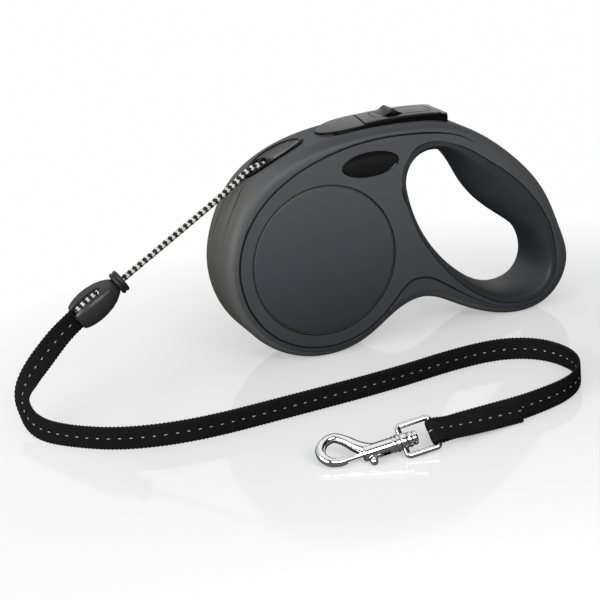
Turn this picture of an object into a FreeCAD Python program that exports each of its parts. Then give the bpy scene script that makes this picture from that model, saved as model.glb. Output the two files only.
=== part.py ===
import FreeCAD, Part
import math
import os

# Retractable dog leash: a drum-shaped case with a handle loop, a braided cord that runs out of
# its front rim, a stop disc and connector, and a webbing strap that ends in a swivel bolt snap.
# Millimetres. X runs along the case from the cord outlet (-X) to the handle (+X), Z is up, and the
# case's parting plane is Y = 0. Everything is drawn about the centre of the drum, and moved at the
# end so that the origin lies under the middle of the case, on the surface it stands on.

V = FreeCAD.Vector

# ---- driving dimensions -------------------------------------------------------------------
case_thickness = 31.0
drum_radius = 43.0
rim_rounding = 5.2
rim_wall = 2.5
side_wall = 3.0
wall_clearance = 0.1            # between fixed pieces that drop into each other
running_clearance = 0.05        # radial, shaft in bore
moving_gap = 0.35               # between pieces that slide past each other

cover_radius = drum_radius - 11.0
cover_thickness = 1.2
badge_x, badge_z = 23.5, 37.5
badge_half_length, badge_half_height = 13.0, 5.3
badge_thickness = 1.0

reel_flange_radius = drum_radius - 7.0
reel_flange_thickness = 1.6
reel_hub_radius = 17.0
reel_hub_wall = 2.0
reel_boss_wall = 2.5            # round the axle
cord_channel_width = case_thickness - 18.0
ratchet_tip_radius = reel_flange_radius + 2.0
ratchet_depth = 1.8
ratchet_teeth = 24
ratchet_thickness = 1.8
wound_cord_radius = reel_flange_radius - 3.0
axle_radius = 3.0
washer_thickness = 0.8
washer_radius = 5.5
spring_case_radius = reel_flange_radius - 4.0
spring_case_wall = 1.2
spring_strip = 0.5
spring_turns = 13
spring_inner_radius = 5.0

pawl_pin_x, pawl_pin_z = 6.0, 43.3
pawl_pin_radius = 1.2
pawl_width = 2.8
pawl_half_height = 1.5
pawl_y = 3.5
pawl_tip_x = 20.0
pawl_clearance = 0.4

button_travel = 2.0
button_front, button_rear = 26.5, 61.6
button_half_width = 9.6
button_top = 53.8
button_stem_x = 30.0
button_stem_radius = 1.6
stem_gap = 0.35                 # between the stem and the pawl at rest
button_spring_x = 50.0
bezel_front, bezel_rear = 7.0, 63.0
bezel_half_width = 10.6
bezel_wall = 1.2
bezel_floor_z = 46.4
button_thickness = button_top - bezel_floor_z - bezel_wall - button_travel - 0.8
slider_travel = 4.0
slider_x = 40.0
slider_length = 7.0
slider_ridge = 2.3
slider_foot = 1.4
slider_half_width = 5.2

cord_diameter = 2.7
outlet_angle = 28.0             # slope of the rim under the outlet
outlet_x, outlet_z = -13.5, 44.2
outlet_half_length = 14.5
outlet_half_width = 7.2
outlet_depth = 5.0
outlet_proud = 0.5
outlet_bore = 4.4

screw_shank_radius = 1.2
screw_head_radius = 2.3
screw_head_height = 1.6
screw_length = 18.0
screw_head_y = 9.0
screw_pillar_radius = 3.0
screw_places = [(-2.5, 42.3), (46.0, -19.0), (68.0, 42.3), (97.3, 18.6), (113.2, -20.0)]

stop_disc_radius = 5.0
stop_disc_width = 3.4
connector_length = 21.0
connector_width = 14.4
connector_thickness = 11.0
connector_pocket = 8.0           # depth of the slot that holds the webbing
webbing_width = 9.5
webbing_thickness = 1.2
strap_z = webbing_width / 2 + 0.1 - drum_radius       # the strap stands on its edge on the ground
strap_arc_steps = 4

hook_pitch, hook_yaw = 7.4, 6.0       # slope of the hook's axis to the ground, and its heading
frame_lean = 46.0                     # how far the swivel frame leans back from upright
eye_lean = 62.0                       # the same for the hook's eye
frame_wire = 1.05
frame_height = webbing_width + 4 * frame_wire + 0.5
frame_length = 12.5
frame_corner = 1.25
swivel_point = V(-17.5, -120.2, -37.7)
frame_boss_radius = 2.3
post_radius = 1.3
post_head_radius = 2.5
barrel_start, barrel_end = 1.9, 15.5
barrel_radius = 2.4
hook_wire = 1.6
eye_centre_u = 22.5
eye_half_length = 7.4
eye_half_width = 5.6
bolt_radius = 0.85
bolt_collar = 0.5                # how far the bolt's collar stands out from its rod
bolt_collar_length = 1.9
bolt_cap = 1.5                   # wall that closes each end of the barrel's bore
bolt_slot_half_width = 0.95
bolt_travel = 6.0
bolt_gap = 6.6
knob_radius = 1.5
knob_stem_radius = 0.7
knob_drop = 4.3                  # from the bolt's axis to the middle of the knob
post_head_length = 1.5
barrel_collar_length = 1.0
hook_end_gap = 0.3               # between the frame's front bar and the pieces on each side of it

# ---- outlines in the plane of the case ----------------------------------------------------
# The case outline leaves the drum circle at these two angles and runs over the brake, round the
# handle and back under the neck.
drum_leave, drum_return = 158.0, -52.0
drum_steps = 8
case_points = [(-23.0, 39.6), (-9.0, 46.4), (6.0, 50.0), (24.0, 51.6), (44.0, 51.2), (60.0, 48.9),
               (75.0, 42.1), (91.8, 29.0), (106.6, 10.8), (114.2, -8.0), (117.2, -21.0),
               (112.9, -33.5), (103.5, -41.0), (91.0, -43.0), (77.0, -40.2), (60.0, -32.2),
               (46.5, -26.6), (35.5, -28.6)]
# The seam of the grip liner, round the hand opening.
seam_points = [(37.6, 25.0), (39.6, 16.0), (45.0, 1.3), (53.8, -12.5), (64.0, -24.0), (74.5, -31.8),
               (84.0, -36.0), (95.0, -37.2), (103.5, -34.2), (108.6, -27.0), (109.4, -17.0),
               (107.2, -5.0), (101.0, 7.0), (91.0, 18.9), (79.0, 28.9), (66.0, 37.6), (52.5, 41.9),
               (42.6, 38.6)]
# The hand opening where it is narrowest, on the parting plane.
opening_points = [(42.0, 23.0), (42.8, 15.5), (48.0, 2.2), (56.0, -9.6), (66.5, -20.5), (77.5, -28.6),
                  (86.5, -32.6), (95.0, -33.4), (101.8, -30.2), (105.0, -22.5), (102.6, -13.0),
                  (95.0, -4.6), (86.0, 2.6), (78.0, 10.2), (72.0, 19.4), (68.2, 28.4), (58.0, 35.8),
                  (46.6, 33.6)]


def spline(points, offset=0.0):
    """A smooth closed curve through points in the XZ plane, moved outwards by offset."""
    flat = [V(x, 0, z) for x, z in points]
    curve = Part.BSplineCurve()
    curve.interpolate(Points=flat, PeriodicFlag=True)
    if not offset:
        return curve
    moved = []
    for point in flat:
        along = curve.tangent(curve.parameter(point))[0]
        moved.append(point + V(-along.z, 0, along.x) * offset)
    shifted = Part.BSplineCurve()
    shifted.interpolate(Points=moved, PeriodicFlag=True)
    return shifted


def loop_prism(curve, y0, y1):
    wire = Part.Wire([curve.toShape()])
    wire.translate(V(0, y0, 0))
    return Part.Face(wire).extrude(V(0, y1 - y0, 0))


def seam_prism(offset, y0, y1):
    """The block inside the grip seam. The seam's points run the opposite way to the case's."""
    return loop_prism(spline(seam_points, -offset), y0, y1)


def on_circle(radius, degrees):
    turn = math.radians(degrees)
    return V(radius * math.cos(turn), 0, radius * math.sin(turn))


def case_outline():
    """The case's points, followed by points that run on round the drum."""
    around = drum_leave - drum_return - 360
    chain = list(case_points)
    for step in range(drum_steps + 1):
        point = on_circle(drum_radius, drum_return + around * step / drum_steps)
        chain.append((point.x, point.z))
    return chain


def case_prism(offset, y0, y1):
    """The case's silhouette grown by offset, between two heights across the case."""
    return loop_prism(spline(case_outline(), offset), y0, y1)


def rod(x, z, radius, y0, y1):
    return Part.makeCylinder(radius, y1 - y0, V(x, y0, z), V(0, 1, 0))


def ring(x, z, outer, inner, y0, y1):
    return rod(x, z, outer, y0, y1).cut(rod(x, z, inner, y0 - 1, y1 + 1))


def block(x0, x1, y0, y1, z0, z1):
    return Part.makeBox(x1 - x0, y1 - y0, z1 - z0, V(x0, y0, z0))


def plate(points, y0, y1):
    wire = Part.makePolygon([V(x, y0, z) for x, z in points + points[:1]])
    return Part.Face(wire).extrude(V(0, y1 - y0, 0))


def oval_prism(x, z, half_length, half_height, y0, y1):
    ellipse = Part.Ellipse(V(x, y0, z), half_length, half_height)
    edge = ellipse.toShape()
    edge.rotate(V(x, y0, z), V(1, 0, 0), 90)
    return Part.Face(Part.Wire([edge])).extrude(V(0, y1 - y0, 0))


def fuse(*shapes):
    whole = shapes[0]
    for shape in shapes[1:]:
        whole = whole.fuse(shape)
    return whole.removeSplitter()


half_thickness = case_thickness / 2
inner_y = half_thickness - side_wall

# Places across the case, from the visible side (-Y) to the far side: the reel's outer flange, the
# cord channel, the brake teeth, then the spring case.
reel_y0 = -inner_y + washer_thickness - 0.3
flange_y1 = reel_y0 + reel_flange_thickness
channel_y1 = flange_y1 + cord_channel_width
ratchet_y1 = channel_y1 + ratchet_thickness
spring_case_y1 = inner_y - washer_thickness + 0.3
axle_bore = axle_radius + running_clearance


# ---- route of the cord -----------------------------------------------------------------------
# The cord leaves the wound reel, passes through the outlet's bore, turns over its lip and runs
# out in a straight line to the stop disc.
cord_route = [on_circle(wound_cord_radius + cord_diameter / 2 + 0.12, 72.1), V(-5.0, 0, 37.9),
              V(-21.2, 0, 43.1), V(-33.5, 0, 33.7), V(-57.0, 0, 19.8), V(-84.6, 0, 3.8), V(-92.0, 0, -0.6)]


def unit(vector):
    return V(vector).normalize()


def rounded_path(points):
    """Straight runs joined by tangent arcs. Gives the wire and the arcs' radii."""
    edges, radii = [], []
    here = points[0]
    for before, corner, after in zip(points, points[1:], points[2:]):
        back, ahead = before - corner, after - corner
        turn = math.pi - back.getAngle(ahead)
        reach = 0.45 * min(back.Length, ahead.Length)
        radius = reach / math.tan(turn / 2)
        start, end = corner + unit(back) * reach, corner + unit(ahead) * reach
        inward = unit(unit(back) + unit(ahead))
        centre = corner + inward * (radius / math.cos(turn / 2))
        middle = centre - inward * radius
        edges.append(Part.LineSegment(here, start).toShape())
        edges.append(Part.Arc(start, middle, end).toShape())
        radii.append(radius)
        here = end
    edges.append(Part.LineSegment(here, points[-1]).toShape())
    return Part.Wire(edges), radii


def cord_tube(radius):
    path = rounded_path(cord_route)[0]
    section = Part.Circle(cord_route[0], cord_route[1] - cord_route[0], radius).toShape()
    return path.makePipeShell([Part.Wire([section])], True, True)


def make_cord():
    path, radii = rounded_path(cord_route)
    tube = cord_tube(cord_diameter / 2)
    area = math.pi * cord_diameter ** 2 / 4
    print("cord: length %.1f, radii %s" % (path.Length, [round(radius, 1) for radius in radii]))
    print("cord: volume %.1f, section times length %.1f" % (tube.Volume, area * path.Length))
    return tube


# ---- case ------------------------------------------------------------------------------------
def outlet_column(growth, low, high):
    """An oval block square to the rim under the outlet, between two heights over the rim."""
    shape = oval_prism(0, 0, outlet_half_length + growth, outlet_half_width + growth, 0, high - low)
    shape.rotate(V(0, 0, 0), V(1, 0, 0), 90)
    shape.translate(V(0, 0, low))
    shape.rotate(V(0, 0, 0), V(0, 1, 0), -outlet_angle)
    shape.translate(V(outlet_x, 0, outlet_z))
    return shape


def bezel_column(growth, z0, z1):
    """The brake bezel's plan: a pointed nose, straight sides and a rounded rear."""
    half = bezel_half_width + growth
    front, rear = bezel_front - growth, bezel_rear + growth
    shoulder = bezel_front + 14.0
    corner = 2.0 + growth
    left, right = V(shoulder, -half, z0), V(shoulder, half, z0)
    nose = Part.BSplineCurve()
    nose.interpolate(Points=[right, V(front + 3.2, half * 0.62, z0), V(front, 0, z0),
                             V(front + 3.2, -half * 0.62, z0), left],
                     InitialTangent=V(-1, 0, 0), FinalTangent=V(1, 0, 0))
    half_corner = corner * (1 - math.sqrt(0.5))
    edges = [nose.toShape(),
             Part.LineSegment(left, V(rear - corner, -half, z0)).toShape(),
             Part.Arc(V(rear - corner, -half, z0), V(rear - half_corner, -half + half_corner, z0),
                      V(rear, -half + corner, z0)).toShape(),
             Part.LineSegment(V(rear, -half + corner, z0), V(rear, half - corner, z0)).toShape(),
             Part.Arc(V(rear, half - corner, z0), V(rear - half_corner, half - half_corner, z0),
                      V(rear - corner, half, z0)).toShape(),
             Part.LineSegment(V(rear - corner, half, z0), right).toShape()]
    return Part.Face(Part.Wire(edges)).extrude(V(0, 0, z1 - z0))


def case_block():
    """The whole case before it is hollowed, with its rims rounded."""
    body = case_prism(0, -half_thickness, half_thickness)
    rims = [edge for edge in body.Edges if edge.BoundBox.YLength < rim_rounding]
    body = body.makeFillet(rim_rounding, rims)
    return body.cut(seam_prism(wall_clearance, -half_thickness - 1, half_thickness + 1))


def cavity():
    """The hollow inside: the drum, the brake space, and a channel round the handle."""
    hollow = case_prism(-rim_wall, -inner_y, inner_y)
    hollow = hollow.cut(seam_prism(rim_wall, -inner_y - 1, inner_y + 1))
    for x, z in screw_places:
        hollow = hollow.cut(rod(x, z, screw_pillar_radius, -inner_y - 1, inner_y + 1))
    for x, z, radius in ((0, 0, washer_radius), (pawl_pin_x, pawl_pin_z, pawl_pin_radius + 1.5)):
        for y0, y1 in ((-inner_y - 1, reel_y0 - moving_gap), (spring_case_y1 + moving_gap, inner_y + 1)):
            hollow = hollow.cut(rod(x, z, radius, y0, y1))
    return hollow


def make_shells():
    body = case_block().cut(cavity())
    seat = wall_clearance
    for side in (-1, 1):
        low, high = sorted((side * (half_thickness - cover_thickness), side * (half_thickness + 1)))
        body = body.cut(rod(0, 0, cover_radius + seat, low, high))
        low, high = sorted((side * (half_thickness - badge_thickness), side * (half_thickness + 1)))
        body = body.cut(oval_prism(badge_x, badge_z, badge_half_length + seat, badge_half_height + seat,
                                   low, high))
    body = body.cut(rod(0, 0, axle_bore, -half_thickness + side_wall / 2, half_thickness - side_wall / 2))
    body = body.cut(rod(pawl_pin_x, pawl_pin_z, pawl_pin_radius + running_clearance,
                        -half_thickness + side_wall / 2, half_thickness - side_wall / 2))
    body = body.cut(outlet_column(seat, -outlet_depth - seat, outlet_depth * 2))
    body = body.cut(bezel_column(seat, bezel_floor_z - seat, button_top + 5))
    body = body.cut(cord_tube(outlet_bore / 2))
    for x, z in screw_places:
        head_seat = screw_head_y - screw_head_height
        body = body.cut(rod(x, z, screw_head_radius + seat, head_seat, half_thickness + 1))
        body = body.cut(rod(x, z, screw_shank_radius + running_clearance, screw_head_y - screw_length,
                            screw_head_y))
    reach = 400
    left = body.common(block(-reach, reach, -reach, 0, -reach, reach))
    right = body.common(block(-reach, reach, 0, reach, -reach, reach))
    return left, right


def make_grip():
    """The liner of the hand opening: its bore swells inwards to a crest on the parting plane."""
    ring_block = seam_prism(0, -half_thickness + 0.4, half_thickness - 0.4)
    lip = 0.8
    profiles = []
    for share in (-1.02, -0.9, -0.55, 0.0, 0.55, 0.9, 1.02):
        swell = math.sqrt(max(0.0, 1 - share * share))
        ring_points = []
        for (sx, sz), (ox, oz) in zip(seam_points, opening_points):
            run = math.hypot(ox - sx, oz - sz)
            keep = lip / run
            part_way = keep + (1 - keep) * swell
            ring_points.append((sx + (ox - sx) * part_way, sz + (oz - sz) * part_way))
        wire = Part.Wire([spline(ring_points).toShape()])
        wire.translate(V(0, share * half_thickness, 0))
        profiles.append(wire)
    return ring_block.cut(Part.makeLoft(profiles, True, False))


def make_screws():
    screws = []
    for x, z in screw_places:
        head = rod(x, z, screw_head_radius, screw_head_y - screw_head_height, screw_head_y)
        shank = rod(x, z, screw_shank_radius, screw_head_y - screw_length, screw_head_y - screw_head_height)
        screws.append(fuse(head, shank))
    return Part.makeCompound(screws)


# ---- reel and power spring -----------------------------------------------------------------
def make_reel():
    parts = [ring(0, 0, reel_flange_radius, axle_bore, reel_y0, flange_y1),
             ring(0, 0, reel_hub_radius, reel_hub_radius - reel_hub_wall, flange_y1 - 0.5, channel_y1 + 0.5),
             ring(0, 0, axle_radius + reel_boss_wall, axle_bore, flange_y1 - 0.5, ratchet_y1)]
    root = ratchet_tip_radius - ratchet_depth
    pitch = 360 / ratchet_teeth
    pawl_angle = math.degrees(math.atan2(pawl_tip_z(), pawl_tip_x))
    outline = []
    for tooth in range(ratchet_teeth):
        middle = pawl_angle + pitch * (tooth + 0.5)
        for radius, share in ((root, -0.26), (ratchet_tip_radius, -0.17),
                              (ratchet_tip_radius, 0.17), (root, 0.26)):
            point = on_circle(radius, middle + share * pitch)
            outline.append((point.x, point.z))
    toothed = plate(outline, channel_y1, ratchet_y1)
    parts.append(toothed.cut(rod(0, 0, axle_bore, channel_y1 - 1, ratchet_y1 + 1)))
    return fuse(*parts)


def make_wound_cord():
    return ring(0, 0, wound_cord_radius, reel_hub_radius + wall_clearance, flange_y1 + wall_clearance,
                channel_y1 - wall_clearance)


def make_spring_case():
    floor = ring(0, 0, spring_case_radius, axle_radius + 2.0, ratchet_y1 + 0.02,
                 ratchet_y1 + spring_case_wall)
    rim = ring(0, 0, spring_case_radius, spring_case_radius - spring_case_wall, ratchet_y1 + 0.02,
               spring_case_y1 - spring_case_wall)
    return fuse(floor, rim)


def make_spring_cover():
    return ring(0, 0, spring_case_radius, axle_bore, spring_case_y1 - spring_case_wall + 0.02, spring_case_y1)


def make_power_spring():
    """A flat strip wound in half turns whose radius grows by half a pitch each time."""
    outer = spring_case_radius - spring_case_wall - 0.4 - spring_strip
    pitch = (outer - spring_inner_radius) / spring_turns
    y0 = ratchet_y1 + spring_case_wall + 0.4
    y1 = spring_case_y1 - spring_case_wall - 0.4

    def side(extra):
        edges = []
        radius = spring_inner_radius + extra
        x = radius
        for half_turn in range(2 * spring_turns):
            way = 1 if half_turn % 2 == 0 else -1
            reach = 2 * radius + pitch / 2
            start, end = V(x, y0, 0), V(x - way * reach, y0, 0)
            middle = V(x - way * reach / 2, y0, way * reach / 2)
            edges.append(Part.Arc(start, middle, end).toShape())
            x -= way * reach
            radius += pitch / 2
        return edges

    inside, outside = side(0), side(spring_strip)
    ends = []
    for index in (0, -1):
        near = inside[index].Vertexes[index].Point
        far = outside[index].Vertexes[index].Point
        ends.append(Part.LineSegment(near, far).toShape())
    wire = Part.Wire(Part.__sortEdges__(inside + outside + ends))
    return Part.Face(wire).extrude(V(0, y1 - y0, 0))


def make_axle():
    return rod(0, 0, axle_radius, -half_thickness + side_wall / 2 + wall_clearance,
               half_thickness - side_wall / 2 - wall_clearance)


def make_washers():
    low = ring(0, 0, washer_radius - 0.3, axle_bore, reel_y0 - 0.3, reel_y0 - 0.05)
    high = ring(0, 0, washer_radius - 0.3, axle_bore, spring_case_y1 + 0.05, spring_case_y1 + 0.3)
    return Part.makeCompound([low, high])


# ---- brake ------------------------------------------------------------------------------------
def pawl_tip_z():
    return math.sqrt((ratchet_tip_radius + pawl_clearance) ** 2 - pawl_tip_x ** 2)


def make_pawl():
    y0, y1 = pawl_y - pawl_width / 2, pawl_y + pawl_width / 2
    hub = rod(pawl_pin_x, pawl_pin_z, pawl_pin_radius + 1.6, y0, y1)
    top = pawl_pin_z + pawl_half_height
    under = pawl_pin_z - pawl_half_height
    tip_z = pawl_tip_z()
    arm = plate([(pawl_pin_x, top), (button_stem_x + 2.5, top), (button_stem_x + 2.5, under),
                 (pawl_tip_x + 2.6, under), (pawl_tip_x + 1.5, tip_z + 0.6), (pawl_tip_x + 0.2, tip_z),
                 (pawl_tip_x - 1.3, tip_z + 1.1), (pawl_tip_x - 2.6, under), (pawl_pin_x, under)], y0, y1)
    bore = rod(pawl_pin_x, pawl_pin_z, pawl_pin_radius + running_clearance, y0 - 1, y1 + 1)
    return fuse(hub, arm).cut(bore)


def make_pawl_pin():
    return rod(pawl_pin_x, pawl_pin_z, pawl_pin_radius, -half_thickness + side_wall / 2 + wall_clearance,
               half_thickness - side_wall / 2 - wall_clearance)


def crown(offset, x0, x1, half_width):
    """A block under the brake's top line, which is a long shallow arc over the rim."""
    arc_top = button_top + offset
    points = [V(bezel_front - 0.2, 0, arc_top - 3.6), V(24.0, 0, arc_top - 0.7), V(42.0, 0, arc_top),
              V(bezel_rear + 0.4, 0, arc_top - 1.9)]
    curve = Part.BSplineCurve()
    curve.interpolate(Points=points)
    low = bezel_floor_z - 8
    sides = [Part.LineSegment(points[-1], V(points[-1].x, 0, low)).toShape(),
             Part.LineSegment(V(points[-1].x, 0, low), V(points[0].x, 0, low)).toShape(),
             Part.LineSegment(V(points[0].x, 0, low), points[0]).toShape()]
    wire = Part.Wire([curve.toShape()] + sides)
    wire.translate(V(0, -half_width, 0))
    solid = Part.Face(wire).extrude(V(0, 2 * half_width, 0))
    return solid.common(block(x0, x1, -half_width, half_width, low, arc_top + 5))


def make_bezel():
    body = bezel_column(0, bezel_floor_z, button_top + 5)
    body = body.common(crown(-0.7, bezel_front - 1, bezel_rear + 1, 20))
    pocket_half = button_half_width + moving_gap
    pocket = block(button_front - moving_gap, button_rear + moving_gap, -pocket_half, pocket_half,
                   bezel_floor_z + bezel_wall, button_top + 5)
    stem_hole = Part.makeCylinder(button_stem_radius + moving_gap, 20,
                                  V(button_stem_x, pawl_y, bezel_floor_z - 5))
    return body.cut(pocket).cut(stem_hole)


def make_button():
    plan = block(button_front, button_rear, -button_half_width, button_half_width,
                 button_top - button_thickness, button_top + 5)
    body = plan.common(crown(0, button_front, button_rear, button_half_width))
    pocket_half = slider_half_width + moving_gap
    pocket = block(slider_x - slider_length / 2 - slider_travel - moving_gap,
                   slider_x + slider_length / 2 + moving_gap, -pocket_half, pocket_half,
                   button_top - slider_foot - moving_gap, button_top + 5)
    stem_foot = pawl_pin_z + pawl_half_height + stem_gap
    stem = Part.makeCylinder(button_stem_radius, button_top - button_thickness + 0.5 - stem_foot,
                             V(button_stem_x, pawl_y, stem_foot))
    return fuse(body.cut(pocket), stem)


def make_slider():
    half = slider_half_width
    x0, x1 = slider_x - slider_length / 2, slider_x + slider_length / 2
    foot = block(x0, x1, -half, half, button_top - slider_foot, button_top)
    wire = Part.makePolygon([V(x0, -half, button_top - 0.2), V(slider_x, -half, button_top + slider_ridge),
                             V(x1, -half, button_top - 0.2), V(x0, -half, button_top - 0.2)])
    return fuse(foot, Part.Face(wire).extrude(V(0, 2 * half, 0)))


def coil_spring(radius, wire, length, turns):
    """A compression spring along Z, standing on Z = 0."""
    rise = length - 2 * wire
    helix = Part.makeHelix(rise / turns, rise, radius)
    section = Part.Wire([Part.Circle(V(radius, 0, 0), V(0, 1, 0), wire).toShape()])
    coil = Part.Wire(helix).makePipeShell([section], True, True)
    coil.translate(V(0, 0, wire))
    return coil


def make_button_spring():
    low = bezel_floor_z + bezel_wall + 0.05
    length = button_top - button_thickness - 0.05 - low
    spring = coil_spring(3.0, 0.28, length, 3)
    spring.translate(V(button_spring_x, 0, low))
    return spring


# ---- cord outlet ---------------------------------------------------------------------------
def make_outlet():
    body = outlet_column(0, -outlet_depth, outlet_depth * 2)
    body = body.common(case_prism(outlet_proud, -outlet_half_width - 1, outlet_half_width + 1))
    return body.cut(cord_tube(outlet_bore / 2))


# ---- stop disc, connector and webbing --------------------------------------------------------
cord_way = unit(cord_route[-1] - cord_route[-2])
cord_across = V(cord_way.z, 0, -cord_way.x)
disc_place = cord_route[-2]
webbing_start = stop_disc_width / 2 + wall_clearance + connector_length - connector_pocket + 0.2


def make_stop_disc():
    groove = 0.5
    half = stop_disc_width / 2
    start = disc_place - cord_way * half
    body = Part.makeCylinder(stop_disc_radius, stop_disc_width, start, cord_way)
    edges = [edge for edge in body.Edges if isinstance(edge.Curve, Part.Circle)]
    body = body.makeFillet(half * 0.8, edges)
    waist = Part.makeTorus(stop_disc_radius + 0.1, groove, disc_place, cord_way)
    bore = Part.makeCylinder(cord_diameter / 2 + wall_clearance, 20, disc_place - cord_way * 10, cord_way)
    return body.cut(waist).cut(bore)


def make_connector():
    """An egg-shaped cap: a round neck at the cord, a flat oval mouth at the webbing."""
    start = disc_place + cord_way * (stop_disc_width / 2 + wall_clearance)
    sections = []
    for share, width, thickness in ((0.0, 0.50, 0.62), (0.12, 0.72, 0.80), (0.4, 0.98, 0.98), (0.62, 1.0, 1.0),
                                    (0.85, 0.90, 0.90), (1.0, 0.76, 0.74)):
        curve = Part.Ellipse(V(0, 0, 0), connector_width / 2 * width, connector_thickness / 2 * thickness)
        wire = Part.Wire([curve.toShape()])
        wire.Placement = FreeCAD.Placement(start + cord_way * (share * connector_length),
                                           FreeCAD.Rotation(cord_across, V(0, 1, 0), cord_way, "ZXY"))
        sections.append(wire)
    body = Part.makeLoft(sections, True, False)
    bore = Part.makeCylinder(cord_diameter / 2 + wall_clearance, 12, start - cord_way, cord_way)
    return body.cut(bore).cut(mouth_pocket(start))


def mouth_pocket(start):
    """The flat slot in the connector's mouth that holds the end of the webbing."""
    half_width = webbing_width / 2 + 0.2
    half_gap = webbing_thickness / 2 + 0.2
    base = start + cord_way * (connector_length - connector_pocket)
    corners = [base + cord_across * (a * half_width) + V(0, b * half_gap, 0)
               for a, b in ((-1, -1), (1, -1), (1, 1), (-1, 1))]
    return Part.Face(Part.makePolygon(corners + corners[:1])).extrude(cord_way * (connector_pocket + 2))


# Each point of the webbing's route, with the way its upper edge points.
webbing_route = [
    (disc_place + cord_way * webbing_start, cord_across * -1),
    (disc_place + cord_way * (webbing_start + 12.5), cord_across * -1),
    (V(-119.5, -2.6, -19.2), V(0.68, -0.22, -0.68)),
    (V(-130.5, -8.8, -27.4), V(0.9, -0.35, -0.2)),
    (V(-134.6, -18.5, -33.4), V(0.8, -0.2, 0.5)),
    (V(-132.6, -31.0, strap_z), V(0.3, 0.0, 0.95)),
    (V(-122.0, -46.6, strap_z), V(0, 0, 1)),
    (V(-105.0, -60.2, strap_z), V(0, 0, 1)),
    (V(-78.0, -67.2, strap_z), V(0, 0, 1)),
    (V(-40.0, -65.3, strap_z), V(0, 0, 1)),
    (V(4.0, -62.9, strap_z), V(0, 0, 1)),
    (V(38.0, -57.2, strap_z), V(0, 0, 1)),
    (V(60.0, -58.2, strap_z), V(0, 0, 1)),
    (V(73.5, -69.8, strap_z), V(0, 0, 1)),
    (V(76.0, -91.0, strap_z), V(0, 0, 1)),
    (V(63.0, -108.5, strap_z), V(0, 0.05, 1)),
    (V(38.0, -115.6, strap_z), V(0, 0.22, 1)),
    (V(16.0, -117.5, -37.8), V(0, 0.55, 1)),
    (V(2.5, -119.2, -37.2), V(0, 0.95, 1))]


def hook_axes(lean):
    """The hook's axis and the two ways across it, for a piece that leans back from upright."""
    pitch, yaw, tilt = math.radians(hook_pitch), math.radians(hook_yaw), math.radians(lean)
    along = V(-math.cos(pitch) * math.cos(yaw), math.cos(pitch) * math.sin(yaw), -math.sin(pitch))
    level = unit(along.cross(V(0, 0, 1)))
    upright = unit(level.cross(along))
    height = upright * math.cos(tilt) + level * math.sin(tilt)
    return along, height, unit(along.cross(height))


def webbing_loop():
    """The end of the strap: round the frame's rear bar, then sewn back against itself."""
    along, height, face = hook_axes(frame_lean)
    bar = swivel_point - along * frame_length
    off = frame_wire + webbing_thickness / 2 + 0.1
    ends = [(bar + along * off + face * off, height),
            (bar + along * off - face * off, height),
            (bar - along * 1.0 - face * off, height),
            (bar - along * 7.0 + face * off, height)]
    tail = [(V(16.0, -119.4, -37.4), V(0, 0.55, 1)), (V(33.5, -117.9, strap_z), V(0, 0.22, 1))]
    return ends + tail


def strap(stations, width, thickness):
    """A closed band of flat faces through stations of (centre, way along, way of the upper edge)."""
    rows = []
    for centre, along, edge_way in stations:
        edge = unit(edge_way - along * edge_way.dot(along))
        face = unit(along.cross(edge))
        rows.append([centre + edge * (a * width / 2) + face * (b * thickness / 2)
                     for a, b in ((1, 1), (-1, 1), (-1, -1), (1, -1))])
    triangles = [(rows[0][0], rows[0][1], rows[0][2]), (rows[0][0], rows[0][2], rows[0][3]),
                 (rows[-1][2], rows[-1][1], rows[-1][0]), (rows[-1][3], rows[-1][2], rows[-1][0])]
    for row, following in zip(rows, rows[1:]):
        for side in range(4):
            other = (side + 1) % 4
            triangles.append((row[side], following[side], row[other]))
            triangles.append((row[other], following[side], following[other]))
    faces = [Part.Face(Part.makePolygon(list(corners) + [corners[0]])) for corners in triangles]
    solid = Part.makeSolid(Part.makeShell(faces))
    if solid.Volume < 0:
        solid.reverse()
    return solid


def make_webbing():
    route = webbing_route + webbing_loop()
    path, radii = rounded_path([point for point, edge in route])
    stations = []
    for number, edge in enumerate(path.Edges):
        is_arc = number % 2 == 1
        steps = strap_arc_steps if is_arc else 1
        first, last = edge.ParameterRange
        for step in range(steps):
            at = first + (last - first) * step / steps
            on_run = number / 2 + 0.45 * (number > 0)
            place = (number + 1) / 2 - 0.45 + 0.9 * step / steps if is_arc else on_run
            low = int(place)
            upper = route[low][1] * (low + 1 - place) + route[low + 1][1] * (place - low)
            stations.append((edge.valueAt(at), edge.tangentAt(at), upper))
    last_edge = path.Edges[-1]
    end = last_edge.ParameterRange[1]
    stations.append((last_edge.valueAt(end), last_edge.tangentAt(end), route[-1][1]))
    solid = strap(stations, webbing_width, webbing_thickness)
    print("webbing: length %.1f, radii %s" % (path.Length, [round(radius, 1) for radius in radii]))
    print("webbing: volume %.1f, section times length %.1f" % (
        solid.Volume, webbing_width * webbing_thickness * path.Length))
    return solid


# ---- bolt snap ---------------------------------------------------------------------------------
knob_x = barrel_end - bolt_cap - 1.15
bore_start = barrel_start + 1.6


def place_on_hook(shape, lean):
    """Shapes are drawn with the hook's axis on +X and its height on +Z, then laid in place."""
    along, height, face = hook_axes(lean)
    placed = shape.copy()
    laid = FreeCAD.Placement(swivel_point, FreeCAD.Rotation(along, height.cross(along), height, "ZXY"))
    placed.Placement = laid.multiply(placed.Placement)
    return placed


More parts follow.
